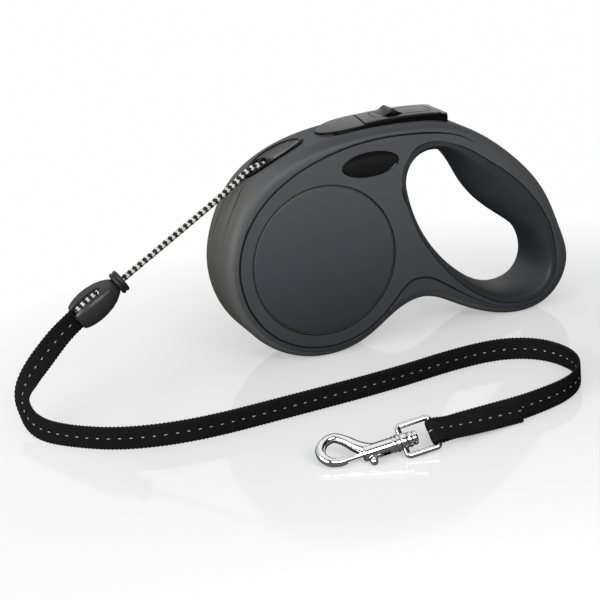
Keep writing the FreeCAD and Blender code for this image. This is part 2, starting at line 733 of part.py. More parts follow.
def rounded_rectangle(x0, x1, half_height, corner):
    """A closed wire in the XZ plane, starting half way up the side at x1."""
    bend = corner * (1 - math.sqrt(0.5))
    edges = []
    here = V(x1, 0, 0)
    corners = ((x1, half_height, -1, -1, True), (x0, half_height, 1, -1, False),
               (x0, -half_height, 1, 1, True), (x1, -half_height, -1, 1, False))
    for x, z, into_x, into_z, upright_first in corners:
        on_side, on_rail = V(x, 0, z + into_z * corner), V(x + into_x * corner, 0, z)
        first, last = (on_side, on_rail) if upright_first else (on_rail, on_side)
        edges.append(Part.LineSegment(here, first).toShape())
        edges.append(Part.Arc(first, V(x + into_x * bend, 0, z + into_z * bend), last).toShape())
        here = last
    edges.append(Part.LineSegment(here, V(x1, 0, 0)).toShape())
    return Part.Wire(edges)


def make_hook_frame():
    path = rounded_rectangle(-frame_length, 0.0, frame_height / 2 - frame_wire, frame_corner)
    section = Part.Wire([Part.Circle(V(0, 0, 0), V(0, 0, 1), frame_wire).toShape()])
    band = path.makePipeShell([section], True, False)
    boss = Part.makeCylinder(frame_boss_radius, 2 * frame_wire, V(-frame_wire, 0, 0), V(1, 0, 0))
    bore = Part.makeCylinder(post_radius + running_clearance, 10, V(-5, 0, 0), V(1, 0, 0))
    return place_on_hook(fuse(band, boss).cut(bore), frame_lean)


def hook_arm():
    """The bent arm: out of the barrel, over the eye, round its tip and back towards the barrel."""
    far = 2 * eye_half_width
    top = V(eye_centre_u, 0, far)
    tip = V(eye_centre_u + eye_half_length, 0, eye_half_width)
    end = V(eye_centre_u + eye_half_length - eye_half_width, 0, 0)
    root = V(barrel_end - 2.5, 0, 1.0)
    curve = Part.BSplineCurve()
    lead = V(barrel_end + 1.2, 0, 6.2)
    curve.interpolate(Points=[root, lead, top, tip, end], InitialTangent=V(6, 0, 3), FinalTangent=V(-9, 0, 0))
    straight_end = V(barrel_end + bolt_gap, 0, 0)
    wire = Part.Wire([curve.toShape(), Part.LineSegment(end, straight_end).toShape()])
    section = Part.Wire([Part.Circle(root, V(6, 0, 3), hook_wire).toShape()])
    return wire.makePipeShell([section], True, False)


def make_hook_body():
    head_start = -frame_wire - hook_end_gap - post_head_length
    post = Part.makeCylinder(post_radius, barrel_start + 0.3 - head_start, V(head_start, 0, 0), V(1, 0, 0))
    head = Part.makeCylinder(post_head_radius, post_head_length, V(head_start, 0, 0), V(1, 0, 0))
    collar = Part.makeCylinder(barrel_radius + 0.4, barrel_collar_length, V(frame_wire + hook_end_gap, 0, 0),
                               V(1, 0, 0))
    barrel = Part.makeCylinder(barrel_radius, barrel_end - barrel_start, V(barrel_start, 0, 0), V(1, 0, 0))
    arm = hook_arm()
    solid = fuse(post, head, collar, barrel, arm)
    bore = Part.makeCylinder(bolt_radius + 0.75, barrel_end - bore_start - bolt_cap,
                             V(bore_start, 0, 0), V(1, 0, 0))
    bolt_way = Part.makeCylinder(bolt_radius + running_clearance, barrel_end + bolt_gap + 1.0 - bore_start,
                                 V(bore_start, 0, 0), V(1, 0, 0))
    slot = block(knob_x - 1.0 - bolt_travel, knob_x + 1.0, -bolt_slot_half_width, bolt_slot_half_width, -5, 0)
    return place_on_hook(solid.cut(bore).cut(bolt_way).cut(slot), eye_lean)


def make_hook_bolt():
    """The sliding bolt, with the thumb knob on a short stem through the barrel's slot."""
    rear = knob_x - 1.0
    rod_part = Part.makeCylinder(bolt_radius, barrel_end + bolt_gap + 0.7 - rear, V(rear, 0, 0), V(1, 0, 0))
    collar = Part.makeCylinder(bolt_radius + bolt_collar, bolt_collar_length, V(rear, 0, 0), V(1, 0, 0))
    stem = Part.makeCylinder(knob_stem_radius, knob_drop - 0.7, V(knob_x, 0, 0), V(0, 0, -1))
    knob = Part.makeSphere(knob_radius, V(knob_x, 0, -knob_drop))
    return place_on_hook(fuse(rod_part, collar, stem, knob), eye_lean)


def make_bolt_spring():
    start = bore_start + 0.1
    spring = coil_spring(0.95, 0.22, knob_x - 1.1 - start, 6)
    spring.rotate(V(0, 0, 0), V(0, 1, 0), 90)
    spring.translate(V(start, 0, 0))
    return place_on_hook(spring, eye_lean)


def make_cover(side):
    y0, y1 = sorted((side * (half_thickness - cover_thickness + 0.02), side * half_thickness))
    return rod(0, 0, cover_radius, y0, y1)


def make_badge(side):
    y0, y1 = sorted((side * (half_thickness - badge_thickness + 0.02), side * half_thickness))
    return oval_prism(badge_x, badge_z, badge_half_length, badge_half_height, y0, y1)


# ---- write the nodes ---------------------------------------------------------------------------
left_shell, right_shell = make_shells()
nodes = {
    "left_shell": left_shell, "right_shell": right_shell,
    "left_cover": make_cover(-1), "right_cover": make_cover(1),
    "left_badge": make_badge(-1), "right_badge": make_badge(1),
    "handle_grip": make_grip(), "cord_outlet": make_outlet(), "case_screws": make_screws(),
    "brake_bezel": make_bezel(), "brake_button": make_button(), "lock_slider": make_slider(),
    "button_spring": make_button_spring(), "brake_pawl": make_pawl(), "pawl_pin": make_pawl_pin(),
    "reel": make_reel(), "wound_cord": make_wound_cord(), "reel_axle": make_axle(),
    "axle_washers": make_washers(), "spring_case": make_spring_case(), "spring_cover": make_spring_cover(),
    "power_spring": make_power_spring(), "leash_cord": make_cord(), "stop_disc": make_stop_disc(),
    "cord_connector": make_connector(), "webbing": make_webbing(), "hook_frame": make_hook_frame(),
    "hook_body": make_hook_body(), "hook_bolt": make_hook_bolt(), "bolt_spring": make_bolt_spring()}

handle_reach = max(x for x, z in case_points)
ground = V((drum_radius - handle_reach) / 2, 0, drum_radius)
os.makedirs("parts", exist_ok=True)
for name, shape in nodes.items():
    placed = shape.copy()
    placed.translate(ground)
    placed.exportStep("parts/%s.step" % name)
    print("%-15s solids %d valid %s volume %.0f" % (
        name, len(placed.Solids), placed.isValid(), placed.Volume))
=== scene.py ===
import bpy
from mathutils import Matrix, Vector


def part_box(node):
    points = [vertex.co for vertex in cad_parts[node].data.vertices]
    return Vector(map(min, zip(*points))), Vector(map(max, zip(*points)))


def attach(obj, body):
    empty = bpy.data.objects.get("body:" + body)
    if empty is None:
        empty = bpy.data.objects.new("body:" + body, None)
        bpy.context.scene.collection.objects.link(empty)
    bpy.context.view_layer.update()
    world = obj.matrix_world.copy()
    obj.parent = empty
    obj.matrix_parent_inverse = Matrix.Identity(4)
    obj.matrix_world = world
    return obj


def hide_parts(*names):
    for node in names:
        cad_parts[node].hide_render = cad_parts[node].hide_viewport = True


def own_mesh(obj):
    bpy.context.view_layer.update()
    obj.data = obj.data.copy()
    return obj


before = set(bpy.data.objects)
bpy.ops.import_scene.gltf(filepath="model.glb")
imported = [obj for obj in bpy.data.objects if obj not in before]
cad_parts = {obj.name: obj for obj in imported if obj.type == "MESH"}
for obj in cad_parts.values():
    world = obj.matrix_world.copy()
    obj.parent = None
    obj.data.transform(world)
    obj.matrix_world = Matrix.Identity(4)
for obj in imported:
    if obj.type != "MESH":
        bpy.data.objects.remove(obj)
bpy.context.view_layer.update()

# ---- The view and the light -----------------------------------------------------------------------
# The leash stands on a pale table in a white room, seen from a little above its front left.
# A large soft box hangs overhead, a second one stands off to the left, and a weak one fills the front.
# The white of the table and of the walls is dimmer in reflections, which keeps dark plastic dark.
import math

import bmesh
import bpy
import numpy as np
from mathutils import Matrix, Vector
from mathutils.bvhtree import BVHTree

scene = bpy.context.scene
scene.view_settings.view_transform = "Standard"

camera = bpy.data.objects.new("camera", bpy.data.cameras.new("camera"))
scene.collection.objects.link(camera)
camera.data.sensor_width = 36
camera.data.lens = 102
camera.data.clip_start = 0.01
camera_back = Vector((-0.3373, -0.8811, 0.3315)).normalized()
camera_right = Vector((0.9203, -0.3827, -0.0807))
camera_right = (camera_right - camera_back * camera_right.dot(camera_back)).normalized()
camera_up = camera_back.cross(camera_right)
camera_place = (-0.2887, -0.6394, 0.2632)
camera.matrix_world = Matrix.Translation(camera_place) @ Matrix(
    (camera_right, camera_up, camera_back)).transposed().to_4x4()
scene.camera = camera


class Value:
    """A number inside a material. Python's operators on it add the Math nodes."""

    def __init__(self, nodes, socket):
        self.nodes = nodes
        self.socket = socket

    def maths(self, operation, *others):
        values = [self.socket] + [getattr(other, "socket", other) for other in others]
        node = self.nodes.add("ShaderNodeMath", {"operation": operation}, dict(enumerate(values)))
        return Value(self.nodes, node.outputs[0])

    def __add__(self, other):
        return self.maths("ADD", other)

    def __sub__(self, other):
        return self.maths("SUBTRACT", other)

    def __mul__(self, other):
        return self.maths("MULTIPLY", other)

    def __rsub__(self, other):
        return (self * -1).maths("ADD", other)

    __radd__ = __add__
    __rmul__ = __mul__

    def sine(self):
        return self.maths("SINE")

    def clipped(self):
        return self.maths("MINIMUM", 1).maths("MAXIMUM", 0)


class Finish:
    """A material and its Principled shader, with one method that adds any other node."""

    def __init__(self, name, colour, roughness, **fixed):
        self.material = bpy.data.materials.new(name)
        self.material.use_nodes = True
        self.tree = self.material.node_tree
        self.shader = self.tree.nodes["Principled BSDF"]
        self.shader.inputs["Base Color"].default_value = (*colour, 1)
        self.shader.inputs["Roughness"].default_value = roughness
        for socket, value in fixed.items():
            self.shader.inputs[socket.replace("_", " ").title().replace("Ior", "IOR")].default_value = value

    def add(self, kind, settings, inputs):
        node = self.tree.nodes.new(kind)
        for key, value in settings.items():
            setattr(node, key, value)
        for key, value in inputs.items():
            value = getattr(value, "socket", value)
            if isinstance(value, bpy.types.NodeSocket):
                self.tree.links.new(value, node.inputs[key])
            else:
                node.inputs[key].default_value = value
        return node

    def place(self):
        """Where a point of the surface is, in metres, because the pieces are drawn in place."""
        return self.add("ShaderNodeTexCoord", {}, {}).outputs["Object"]

    def noise(self, size, detail=2, rough=0.5):
        """Cloudy variation from 0 to 1, with lumps of about that size in metres."""
        node = self.add("ShaderNodeTexNoise", {},
                        {"Vector": self.place(), "Scale": 1 / size, "Detail": detail,
                                                   "Roughness": rough})
        return Value(self, node.outputs[0])

    def own(self, name):
        """A number that the mesh carries at each point."""
        return Value(self, self.add("ShaderNodeAttribute", {"attribute_name": name}, {}).outputs["Fac"])

    def colours(self, share, *stops):
        """A colour that runs through (share, colour) stops."""
        node = self.add("ShaderNodeValToRGB", {}, {"Fac": share})
        ramp = node.color_ramp
        while len(ramp.elements) < len(stops):
            ramp.elements.new(0.5)
        for element, (position, colour) in zip(ramp.elements, stops):
            element.position = position
            element.color = (*colour, 1)
        self.feed("Base Color", node.outputs[0])

    def feed(self, name, value):
        self.tree.links.new(getattr(value, "socket", value), self.shader.inputs[name])

    def bump(self, height, depth, strength=1.0):
        """Raises the surface by height times depth metres."""
        node = self.add("ShaderNodeBump", {}, {"Height": height, "Distance": depth, "Strength": strength})
        self.feed("Normal", node.outputs[0])


def soft_box(name, place, target, width, height, power):
    """A rectangular lamp that faces a point."""
    lamp = bpy.data.objects.new(name, bpy.data.lights.new(name, "AREA"))
    lamp.data.shape = "RECTANGLE"
    lamp.data.size = width
    lamp.data.size_y = height
    lamp.data.energy = power
    lamp.location = place
    lamp.visible_camera = False
    lamp.rotation_euler = (Vector(target) - Vector(place)).to_track_quat("-Z", "Y").to_euler()
    scene.collection.objects.link(lamp)


soft_box("overhead_soft_box", (0.05, 0.1, 1.1), (0, 0, 0), 1.3, 1.0, 1.5)
soft_box("left_soft_box", (-1.0, -0.35, 0.35), (0, 0, 0.04), 0.8, 0.6, 8)
soft_box("front_fill", (-0.1, -0.5, 0.3), (0, 0, 0.05), 0.4, 0.25, 1.9)

white = (0.985, 0.985, 0.985, 1)
world = bpy.data.worlds.new("white_room")
scene.world = world
world.use_nodes = True
room = world.node_tree
sees = room.nodes.new("ShaderNodeLightPath")
lit_by = room.nodes["Background"]
lit_by.inputs["Strength"].default_value = 0.26
shown = room.nodes.new("ShaderNodeBackground")
mirrored = room.nodes.new("ShaderNodeBackground")
for backdrop in (lit_by, shown):
    backdrop.inputs["Color"].default_value = white
ways = room.nodes.new("ShaderNodeTexCoord")
towards_back = room.nodes.new("ShaderNodeVectorMath")
towards_back.operation = "DOT_PRODUCT"
towards_back.inputs[1].default_value = (-0.15, 0.75, 0.65)
walls = room.nodes.new("ShaderNodeValToRGB")
walls.color_ramp.elements[0].position = 0.25
walls.color_ramp.elements[0].color = (0.03, 0.03, 0.03, 1)
walls.color_ramp.elements[1].position = 0.65
walls.color_ramp.elements[1].color = (0.72, 0.72, 0.72, 1)
room.links.new(ways.outputs["Generated"], towards_back.inputs[0])
room.links.new(towards_back.outputs["Value"], walls.inputs[0])
room.links.new(walls.outputs[0], mirrored.inputs["Color"])
in_metal = room.nodes.new("ShaderNodeMixShader")
room.links.new(sees.outputs["Is Glossy Ray"], in_metal.inputs[0])
room.links.new(lit_by.outputs[0], in_metal.inputs[1])
room.links.new(mirrored.outputs[0], in_metal.inputs[2])
either = room.nodes.new("ShaderNodeMixShader")
room.links.new(sees.outputs["Is Camera Ray"], either.inputs[0])
room.links.new(in_metal.outputs[0], either.inputs[1])
room.links.new(shown.outputs[0], either.inputs[2])
room.links.new(either.outputs[0], room.nodes["World Output"].inputs["Surface"])

table = bpy.data.meshes.new("table_top")
reach = 4.0
table.from_pydata([(-reach, -reach, 0), (reach, -reach, 0), (reach, reach, 0), (-reach, reach, 0)], [],
                  [(0, 1, 2, 3)])
table_top = bpy.data.objects.new("table_top", table)
scene.collection.objects.link(table_top)
table_paint = Finish("white_lacquer", (0.9, 0.9, 0.9), 0.07, specular_ior_level=0.9)
table.materials.append(table_paint.material)
far_away = Value(table_paint, table_paint.add("ShaderNodeVectorMath", {"operation": "LENGTH"},
                                              {0: table_paint.place()}).outputs["Value"])
paper = table_paint.add("ShaderNodeEmission", {}, {"Color": white})
strap_middle, clear_round_it, share_of_paper = (-0.02, -0.08, 0), 0.115, 0.38
from_strap = Value(table_paint, table_paint.add("ShaderNodeVectorMath", {"operation": "DISTANCE"},
                                                {0: table_paint.place(), 1: strap_middle}).outputs["Value"])
whiter = ((from_strap - clear_round_it) * 8).clipped() * (1 - share_of_paper) + share_of_paper
seen_top = table_paint.add("ShaderNodeMixShader", {},
                           {0: whiter, 1: table_paint.shader.outputs[0], 2: paper.outputs[0]})
shade = table_paint.add("ShaderNodeValToRGB", {}, {"Fac": far_away})
shade.color_ramp.elements[0].position = 0.06
shade.color_ramp.elements[0].color = (0.06, 0.06, 0.06, 1)
shade.color_ramp.elements[1].position = 0.5
shade.color_ramp.elements[1].color = (0.4, 0.4, 0.4, 1)
bounced = table_paint.add("ShaderNodeBsdfDiffuse", {}, {"Color": shade.outputs[0]})
watched = table_paint.add("ShaderNodeLightPath", {}, {}).outputs["Is Camera Ray"]
whole_top = table_paint.add("ShaderNodeMixShader", {},
                            {0: watched, 1: bounced.outputs[0], 2: seen_top.outputs[0]})
table_paint.tree.links.new(whole_top.outputs[0], table_paint.tree.nodes["Material Output"].inputs["Surface"])


# ---- The cord -------------------------------------------------------------------------------------
# A round cord of eight flattened yarns, four white ones wound one way and four black ones the
# other, each passing over and under the ones it crosses, round a dark core.

cover_low, cover_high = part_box("left_cover")
drum = Vector(((cover_low.x + cover_high.x) / 2, 0, (cover_low.z + cover_high.z) / 2))


def at(x, y, z):
    """A point given in millimetres from the middle of the drum."""
    return drum + Vector((x, y, z)) / 1000


def smooth_line(points, step):
    """Points every step metres along the smooth curve that these points steer."""
    curve = bpy.data.curves.new("route", "CURVE")
    curve.dimensions = "3D"
    curve.resolution_u = 40
    spline = curve.splines.new("NURBS")
    spline.points.add(len(points) - 1)
    for knot, point in zip(spline.points, points):
        knot.co = (*point, 1)
    spline.order_u = 3
    spline.use_endpoint_u = True
    route = bpy.data.objects.new("route", curve)
    mesh = bpy.data.meshes.new_from_object(route)
    line = np.array([vertex.co for vertex in mesh.vertices])
    bpy.data.objects.remove(route)
    bpy.data.curves.remove(curve)
    bpy.data.meshes.remove(mesh)
    run = np.concatenate([[0], np.cumsum(np.linalg.norm(np.diff(line, axis=0), axis=1))])
    even = np.linspace(0, run[-1], int(run[-1] / step) + 1)
    return even, np.stack([np.interp(even, run, line[:, axis]) for axis in range(3)], axis=1)


def unit(vectors):
    return vectors / np.linalg.norm(vectors, axis=-1, keepdims=True)


def new_piece(name, points, faces, body, material, numbers=None):
    """A mesh from its points and faces, facing outwards, on a body. numbers are values at its points."""
    mesh = bpy.data.meshes.new(name)
    mesh.from_pydata([tuple(point) for point in points], [], faces)
    form = bmesh.new()
    form.from_mesh(mesh)
    if form.calc_volume(signed=True) < 0:
        bmesh.ops.reverse_faces(form, faces=form.faces)
        form.to_mesh(mesh)
    form.free()
    for key, values in (numbers or {}).items():
        mesh.attributes.new(key, "FLOAT", "POINT").data.foreach_set("value", np.array(values, np.float32))
    mesh.shade_smooth()
    mesh.materials.append(material)
    piece = bpy.data.objects.new(name, mesh)
    scene.collection.objects.link(piece)
    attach(piece, body)
    return piece


def tube_faces(rings, around, first, closed_ends=True):
    """The faces of a tube whose rings of points follow each other."""
    faces = []
    for ring in range(rings - 1):
        low = first + ring * around
        for side in range(around):
            other = (side + 1) % around
            faces.append((low + side, low + other, low + around + other, low + around + side))
    if closed_ends:
        faces.append(tuple(first + side for side in reversed(range(around))))
        faces.append(tuple(first + (rings - 1) * around + side for side in range(around)))
    return faces


cord_size = 2.7
cord_route = [at(10.6, 0, 32.8), at(-5, 0, 37.9), at(-21.2, 0, 43.1), at(-33.5, 0, 33.7), at(-57, 0, 19.8),
              at(-84.6, 0, 3.8), at(-92, 0, -0.6)]
cord_run, cord_line = smooth_line(cord_route, 0.0003)
cord_way = unit(np.gradient(cord_line, axis=0))
cord_side = np.tile((0.0, 1.0, 0.0), (len(cord_line), 1))
cord_over = np.cross(cord_way, cord_side)


def braid(run, line, side, over, size, twist, yarns_each_way=4):
    """Points, faces, material numbers and yarn values of a braid of two sets of crossing yarns."""
    half_thick, wave = size * 0.13, size * 0.075
    half_wide = size * 0.31
    middle = size / 2 - half_thick - wave
    around = 8
    points, faces, kinds, along, across = [], [], [], [], []
    turn = np.linspace(0, 2 * math.pi, around, endpoint=False)
    for hand in (1, -1):
        for yarn in range(yarns_each_way):
            angle = 2 * math.pi * (yarn / yarns_each_way + hand * run / twist)
            radius = middle + hand * wave * np.cos(2 * yarns_each_way * math.pi * run / twist)
            out = side * np.cos(angle)[:, None] + over * np.sin(angle)[:, None]
            centre = line + out * radius[:, None]
            way = unit(np.gradient(centre, axis=0))
            flank = unit(np.cross(way, out))
            first = len(points)
            for c, o, f, r in zip(centre, out, flank, run):
                for t in turn:
                    points.append(c + f * (half_wide * (1 - 0.12 * hand) * math.cos(t))
                                  + o * (half_thick * math.sin(t)))
                    along.append(r * 1000)
                    across.append(math.cos(t))
            made = tube_faces(len(run), around, first)
            faces += made
            kinds += [0 if hand > 0 else 1] * len(made)
    core = size / 2 - half_thick * 2
    first = len(points)
    for c, s, o, r in zip(line, side, over, run):
        for t in turn:
            points.append(c + s * (core * math.cos(t)) + o * (core * math.sin(t)))
            along.append(r * 1000)
            across.append(0)
    made = tube_faces(len(run), around, first)
    return points, faces + made, kinds + [1] * len(made), {"along": along, "across": across}


def yarn_finish(name, dark, light):
    """Spun polyester: fine filaments that run along the yarn, a little uneven in colour."""
    finish = Finish(name, light, 0.62, specular_ior_level=0.2, sheen_weight=0.04)
    threads = (finish.own("across") * 17).sine() * 0.5 + 0.5
    cloudy = finish.noise(0.0012)
    finish.colours(threads * 0.55 + cloudy * 0.45, (0.15, dark), (0.85, light))
    finish.bump(threads, 0.00006, 0.8)
    return finish.material


white_yarn = yarn_finish("white_yarn", (0.42, 0.42, 0.4), (0.82, 0.82, 0.8))
black_yarn = yarn_finish("black_yarn", (0.006, 0.006, 0.006), (0.022, 0.022, 0.023))
points, faces, kinds, numbers = braid(cord_run, cord_line, cord_side, cord_over, cord_size / 1000, 0.0108)
braided_cord = new_piece("braided_cord", points, faces, "case", white_yarn, numbers=numbers)
braided_cord.data.materials.append(black_yarn)
braided_cord.data.polygons.foreach_set("material_index", kinds)
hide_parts("leash_cord")


# ---- The strap ------------------------------------------------------------------------------------
# A narrow black webbing, woven in a herringbone with looped edges, with a reflective thread that
# shows as short dashes down its middle. Its end is folded round the swivel frame and sewn down.
cord_end = Vector((-7.4, 0, -4.4)).normalized()
strap_foot = -38.15
strap_width, strap_thick = 9.5, 1.2


def past_disc(distance):
    spot = Vector((-84.6, 0, 3.8)) + cord_end * distance
    return at(*spot)


hook_pitch, hook_yaw = math.radians(7.4), math.radians(6.0)
hook_way = Vector((-math.cos(hook_pitch) * math.cos(hook_yaw), math.cos(hook_pitch) * math.sin(hook_yaw),
                   -math.sin(hook_pitch)))
hook_level = hook_way.cross(Vector((0, 0, 1))).normalized()
hook_upright = hook_level.cross(hook_way).normalized()


def leaning(degrees):
    """The way up for a part of the hook that leans back that far."""
    lean = math.radians(degrees)
    return hook_upright * math.cos(lean) + hook_level * math.sin(lean)


swivel = Vector((-17.5, -120.2, -37.7))
frame_up = leaning(46)
frame_face = hook_way.cross(frame_up)
rear_bar = swivel - hook_way * 12.5
fold = 1.05 + strap_thick / 2 + 0.1


def by_bar(along, face):
    return at(*(rear_bar + hook_way * along + frame_face * face))


first_edge = Vector((cord_end.z, 0, -cord_end.x)) * -1
strap_route = [
    (past_disc(15.0), first_edge), (past_disc(27.5), first_edge),
    (at(-119.5, -2.6, -19.2), (0.68, -0.3, -0.62)), (at(-130.5, -8.8, -27.4), (0.68, -0.7, -0.1)),
    (at(-134.6, -18.5, -33.4), (0.35, -0.5, 0.75)), (at(-132.6, -31, strap_foot), (0.3, -0.1, 0.95)),
    (at(-122, -46.6, strap_foot), (0, 0, 1)), (at(-105, -60.2, strap_foot), (0, 0, 1)),
    (at(-78, -67.2, strap_foot), (0, 0, 1)), (at(-40, -65.3, strap_foot), (0, 0, 1)),
    (at(4, -62.9, strap_foot), (0, 0, 1)), (at(38, -57.2, strap_foot), (0, 0, 1)),
    (at(60, -58.2, strap_foot), (0, 0, 1)), (at(73.5, -69.8, strap_foot), (0, 0, 1)),
    (at(76, -91, strap_foot), (0, 0, 1)), (at(63, -108.5, strap_foot), (0, 0.05, 1)),
    (at(38, -115.6, strap_foot), (0, 0.22, 1)), (at(16, -117.5, -37.8), (0, 0.55, 1)),
    (at(2.5, -119.2, -37.2), (0, 0.95, 1)),
    (by_bar(fold, fold), frame_up), (by_bar(fold, -fold), frame_up), (by_bar(-1, -fold), frame_up),
    (by_bar(-7, fold), frame_up),
    (at(16, -119.4, -37.4), (0, 0.55, 1)), (at(33.5, -117.9, strap_foot), (0, 0.22, 1))]


def strap_frames(route, step):
    """Along the strap: the run, its middle, and the ways of its upper edge and its face."""
    run, line = smooth_line([point for point, edge in route], step)
    way = unit(np.gradient(line, axis=0))
    spots = np.array([point for point, edge in route])
    edges = unit(np.array([Vector(edge) for point, edge in route]))
    nearest, start = [], 0
    for spot in spots:
        ahead = np.linalg.norm(line[start:] - spot, axis=1)
        window = ahead[:int(0.06 / step)]
        start += int(window.argmin())
        nearest.append(run[start])
    nearest = np.maximum.accumulate(np.array(nearest) + np.arange(len(nearest)) * 1e-7)
    upper = np.stack([np.interp(run, nearest, edges[:, axis]) for axis in range(3)], axis=1)
    span = max(3, int(0.006 / step) | 1)
    window = np.hanning(span + 2)[1:-1]
    padded = np.pad(upper, ((span // 2, span // 2), (0, 0)), mode="edge")
    upper = np.stack([np.convolve(padded[:, axis], window / window.sum(), "valid") for axis in range(3)],
                     axis=1)
    upper = unit(upper - way * (upper * way).sum(1, keepdims=True))
    return run, line, upper, np.cross(way, upper)


strap_run, strap_line, strap_upper, strap_out = strap_frames(strap_route, 0.00028)


def woven_band(run, line, upper, out, width, thick):
    """A band whose section bulges between its edges, with looped edges and herringbone ribs."""
    across = np.linspace(-1, 1, 19)
    points, along_mm, across_mm = [], [], []
    section = [(a, 1) for a in across] + [(a, -1) for a in across[::-1]]
    around = len(section)
    for r, c, u, o in zip(run * 1000, line, upper, out):
        for a, side in section:
            loop = 0.26 * (0.5 + 0.5 * math.cos(2 * math.pi * r / 1.6)) * abs(a) ** 8
            edge = math.sqrt(max(0.0, 1 - abs(a) ** 10))
            slope = abs(((a * 2.0) % 2) - 1)
            rib = 0.09 * math.sin(2 * math.pi * (r / 0.95 + side * slope * 1.2)) * edge
            wide = (width / 2 - 0.22) * a + math.copysign(loop, a)
            high = (thick / 2 - 0.05) * (0.35 + 0.65 * edge) + rib
            points.append(Vector(c) + (Vector(u) * wide + Vector(o) * (high * side)) / 1000)
            along_mm.append(r)
            across_mm.append(a * width / 2)
    return points, tube_faces(len(run), around, 0), {"along": along_mm, "across": across_mm}


webbing_finish = Finish("black_webbing", (0.006, 0.006, 0.006), 0.7, specular_ior_level=0.1)
along, across = webbing_finish.own("along"), webbing_finish.own("across")
slant = (across * 0.42).maths("PINGPONG", 1.0)
picks = ((along * 6.6 + slant * 9.0).sine() * 0.5 + 0.5)
ends = ((across * 9.5).sine() * 0.5 + 0.5)
weave = picks * 0.7 + ends * 0.3
fuzz = webbing_finish.noise(0.0006, 3)
webbing_finish.colours(weave * 0.6 + fuzz * 0.4, (0.2, (0.002, 0.002, 0.002)), (0.62, (0.007, 0.007, 0.0073)),
                       (0.95, (0.03, 0.03, 0.031)))
webbing_finish.bump(weave, 0.0002, 1.0)
points, faces, numbers = woven_band(strap_run, strap_line, strap_upper, strap_out, strap_width, strap_thick)
strap = new_piece("strap", points, faces, "case", webbing_finish.material, numbers=numbers)
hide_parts("webbing")

# The reflective thread: short flat stitches on both faces, up to where the strap turns round the frame.
stitch_pitch, stitch_length, stitch_width = 4.4, 1.4, 0.32
thread_finish = Finish("reflective_thread", (0.62, 0.62, 0.6), 0.38)
thread_finish.colours(thread_finish.noise(0.0003), (0.3, (0.3, 0.3, 0.29)), (0.7, (0.7, 0.7, 0.68)))


def stitches(run, line, upper, out, first, last, pitch, length, width, faces_of):
    """Small rounded pads, each lying along the strap."""
    points, faces = [], []
    place = first
    while place < last:
        for side in faces_of:
            start = len(points)
            for station in np.linspace(-1, 1, 7):
                here = place + station * length / 2
                slim = math.sqrt(max(0.0, 1 - abs(station) ** 3.0)) + 0.05
                c, u, o = [Vector([np.interp(here, run * 1000, row[:, axis]) for axis in range(3)])
                           for row in (line, upper, out)]
                for turn in np.linspace(0, 2 * math.pi, 8, endpoint=False):
                    points.append(c + (u * (width / 2 * slim * math.cos(turn))
                                       + o * (side * (strap_thick / 2 + 0.05)
                                              + 0.12 * slim * math.sin(turn))) / 1000)
            faces += tube_faces(7, 8, start)
        place += pitch
    return points, faces


points, faces = [], []
strap_end = strap_run[-1] * 1000
for first, last in ((3.0, strap_end - 49), (strap_end - 41, strap_end - 1)):
    more_points, more_faces = stitches(strap_run, strap_line, strap_upper, strap_out, first, last,
                                       stitch_pitch, stitch_length, stitch_width, (1, -1))
    faces += [tuple(len(points) + corner for corner in face) for face in more_faces]
    points += more_points
strap_thread = new_piece("strap_thread", points, faces, "case", thread_finish.material)


# ---- The stop disc --------------------------------------------------------------------------------
# Two soft rubber rings on the cord, moulded as one. They stop the connector from being drawn into
# the outlet and cushion the blow.
def turned(profile, foot, axis, around, side=None):
    """Points and faces of a solid of revolution. The profile is (radius, height) in mm, foot to top."""
    axis = Vector(axis).normalized()
    side = (Vector(side) if side else axis.orthogonal()).normalized()
    other = axis.cross(side)
    points = []
    for radius, height in profile:
        for turn in range(around):
            angle = 2 * math.pi * turn / around
            points.append(foot + (axis * height
                                  + (side * math.cos(angle) + other * math.sin(angle)) * radius) / 1000)
    return points, tube_faces(len(profile), around, 0, closed_ends=False)


def bead(radius, height, size, first, last, steps):
    """Part of a rounded edge, as (radius, height) points round a centre."""
    return [(radius + size * math.cos(math.radians(first + (last - first) * step / steps)),
             height + size * math.sin(math.radians(first + (last - first) * step / steps)))
            for step in range(steps + 1)]


def closed(faces, rings, around):
    """Joins a turned piece's last ring to its first."""
    last = (rings - 1) * around
    return faces + [(last + side, last + (side + 1) % around, (side + 1) % around, side)
                    for side in range(around)]


disc_middle = at(-84.6, 0, 3.8)
profile = [(1.42, -1.2), (2.4, -1.55)] + bead(4.1, -0.85, 0.9, -80, 62, 12)
profile += bead(4.1, 0.85, 0.9, -62, 80, 12) + [(2.4, 1.55), (1.42, 1.2)]
points, faces = turned(profile, disc_middle, cord_end, 72)
rubber = Finish("black_rubber", (0.014, 0.014, 0.014), 0.42, specular_ior_level=0.45)
rubber.colours(rubber.noise(0.0008, 4), (0.3, (0.010, 0.010, 0.010)), (0.7, (0.02, 0.02, 0.02)))
rubber.bump(rubber.noise(0.00025, 3), 0.00003, 0.5)
stop_rings = new_piece("stop_rings", points, closed(faces, len(profile), 72), "case",
                       rubber.material)
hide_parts("stop_disc")


# ---- The connector --------------------------------------------------------------------------------
# An egg-shaped cap of smooth dark plastic. The cord's end is knotted inside, and shows through a slot
# in the bevel along its upper side. The strap goes into its mouth.
across_cap = Vector((cord_end.z, 0, -cord_end.x))
cap_start, cap_length = 1.8, 21.0
cap_width, cap_depth = 14.4, 11.0
bevel_turn = math.radians(-38)


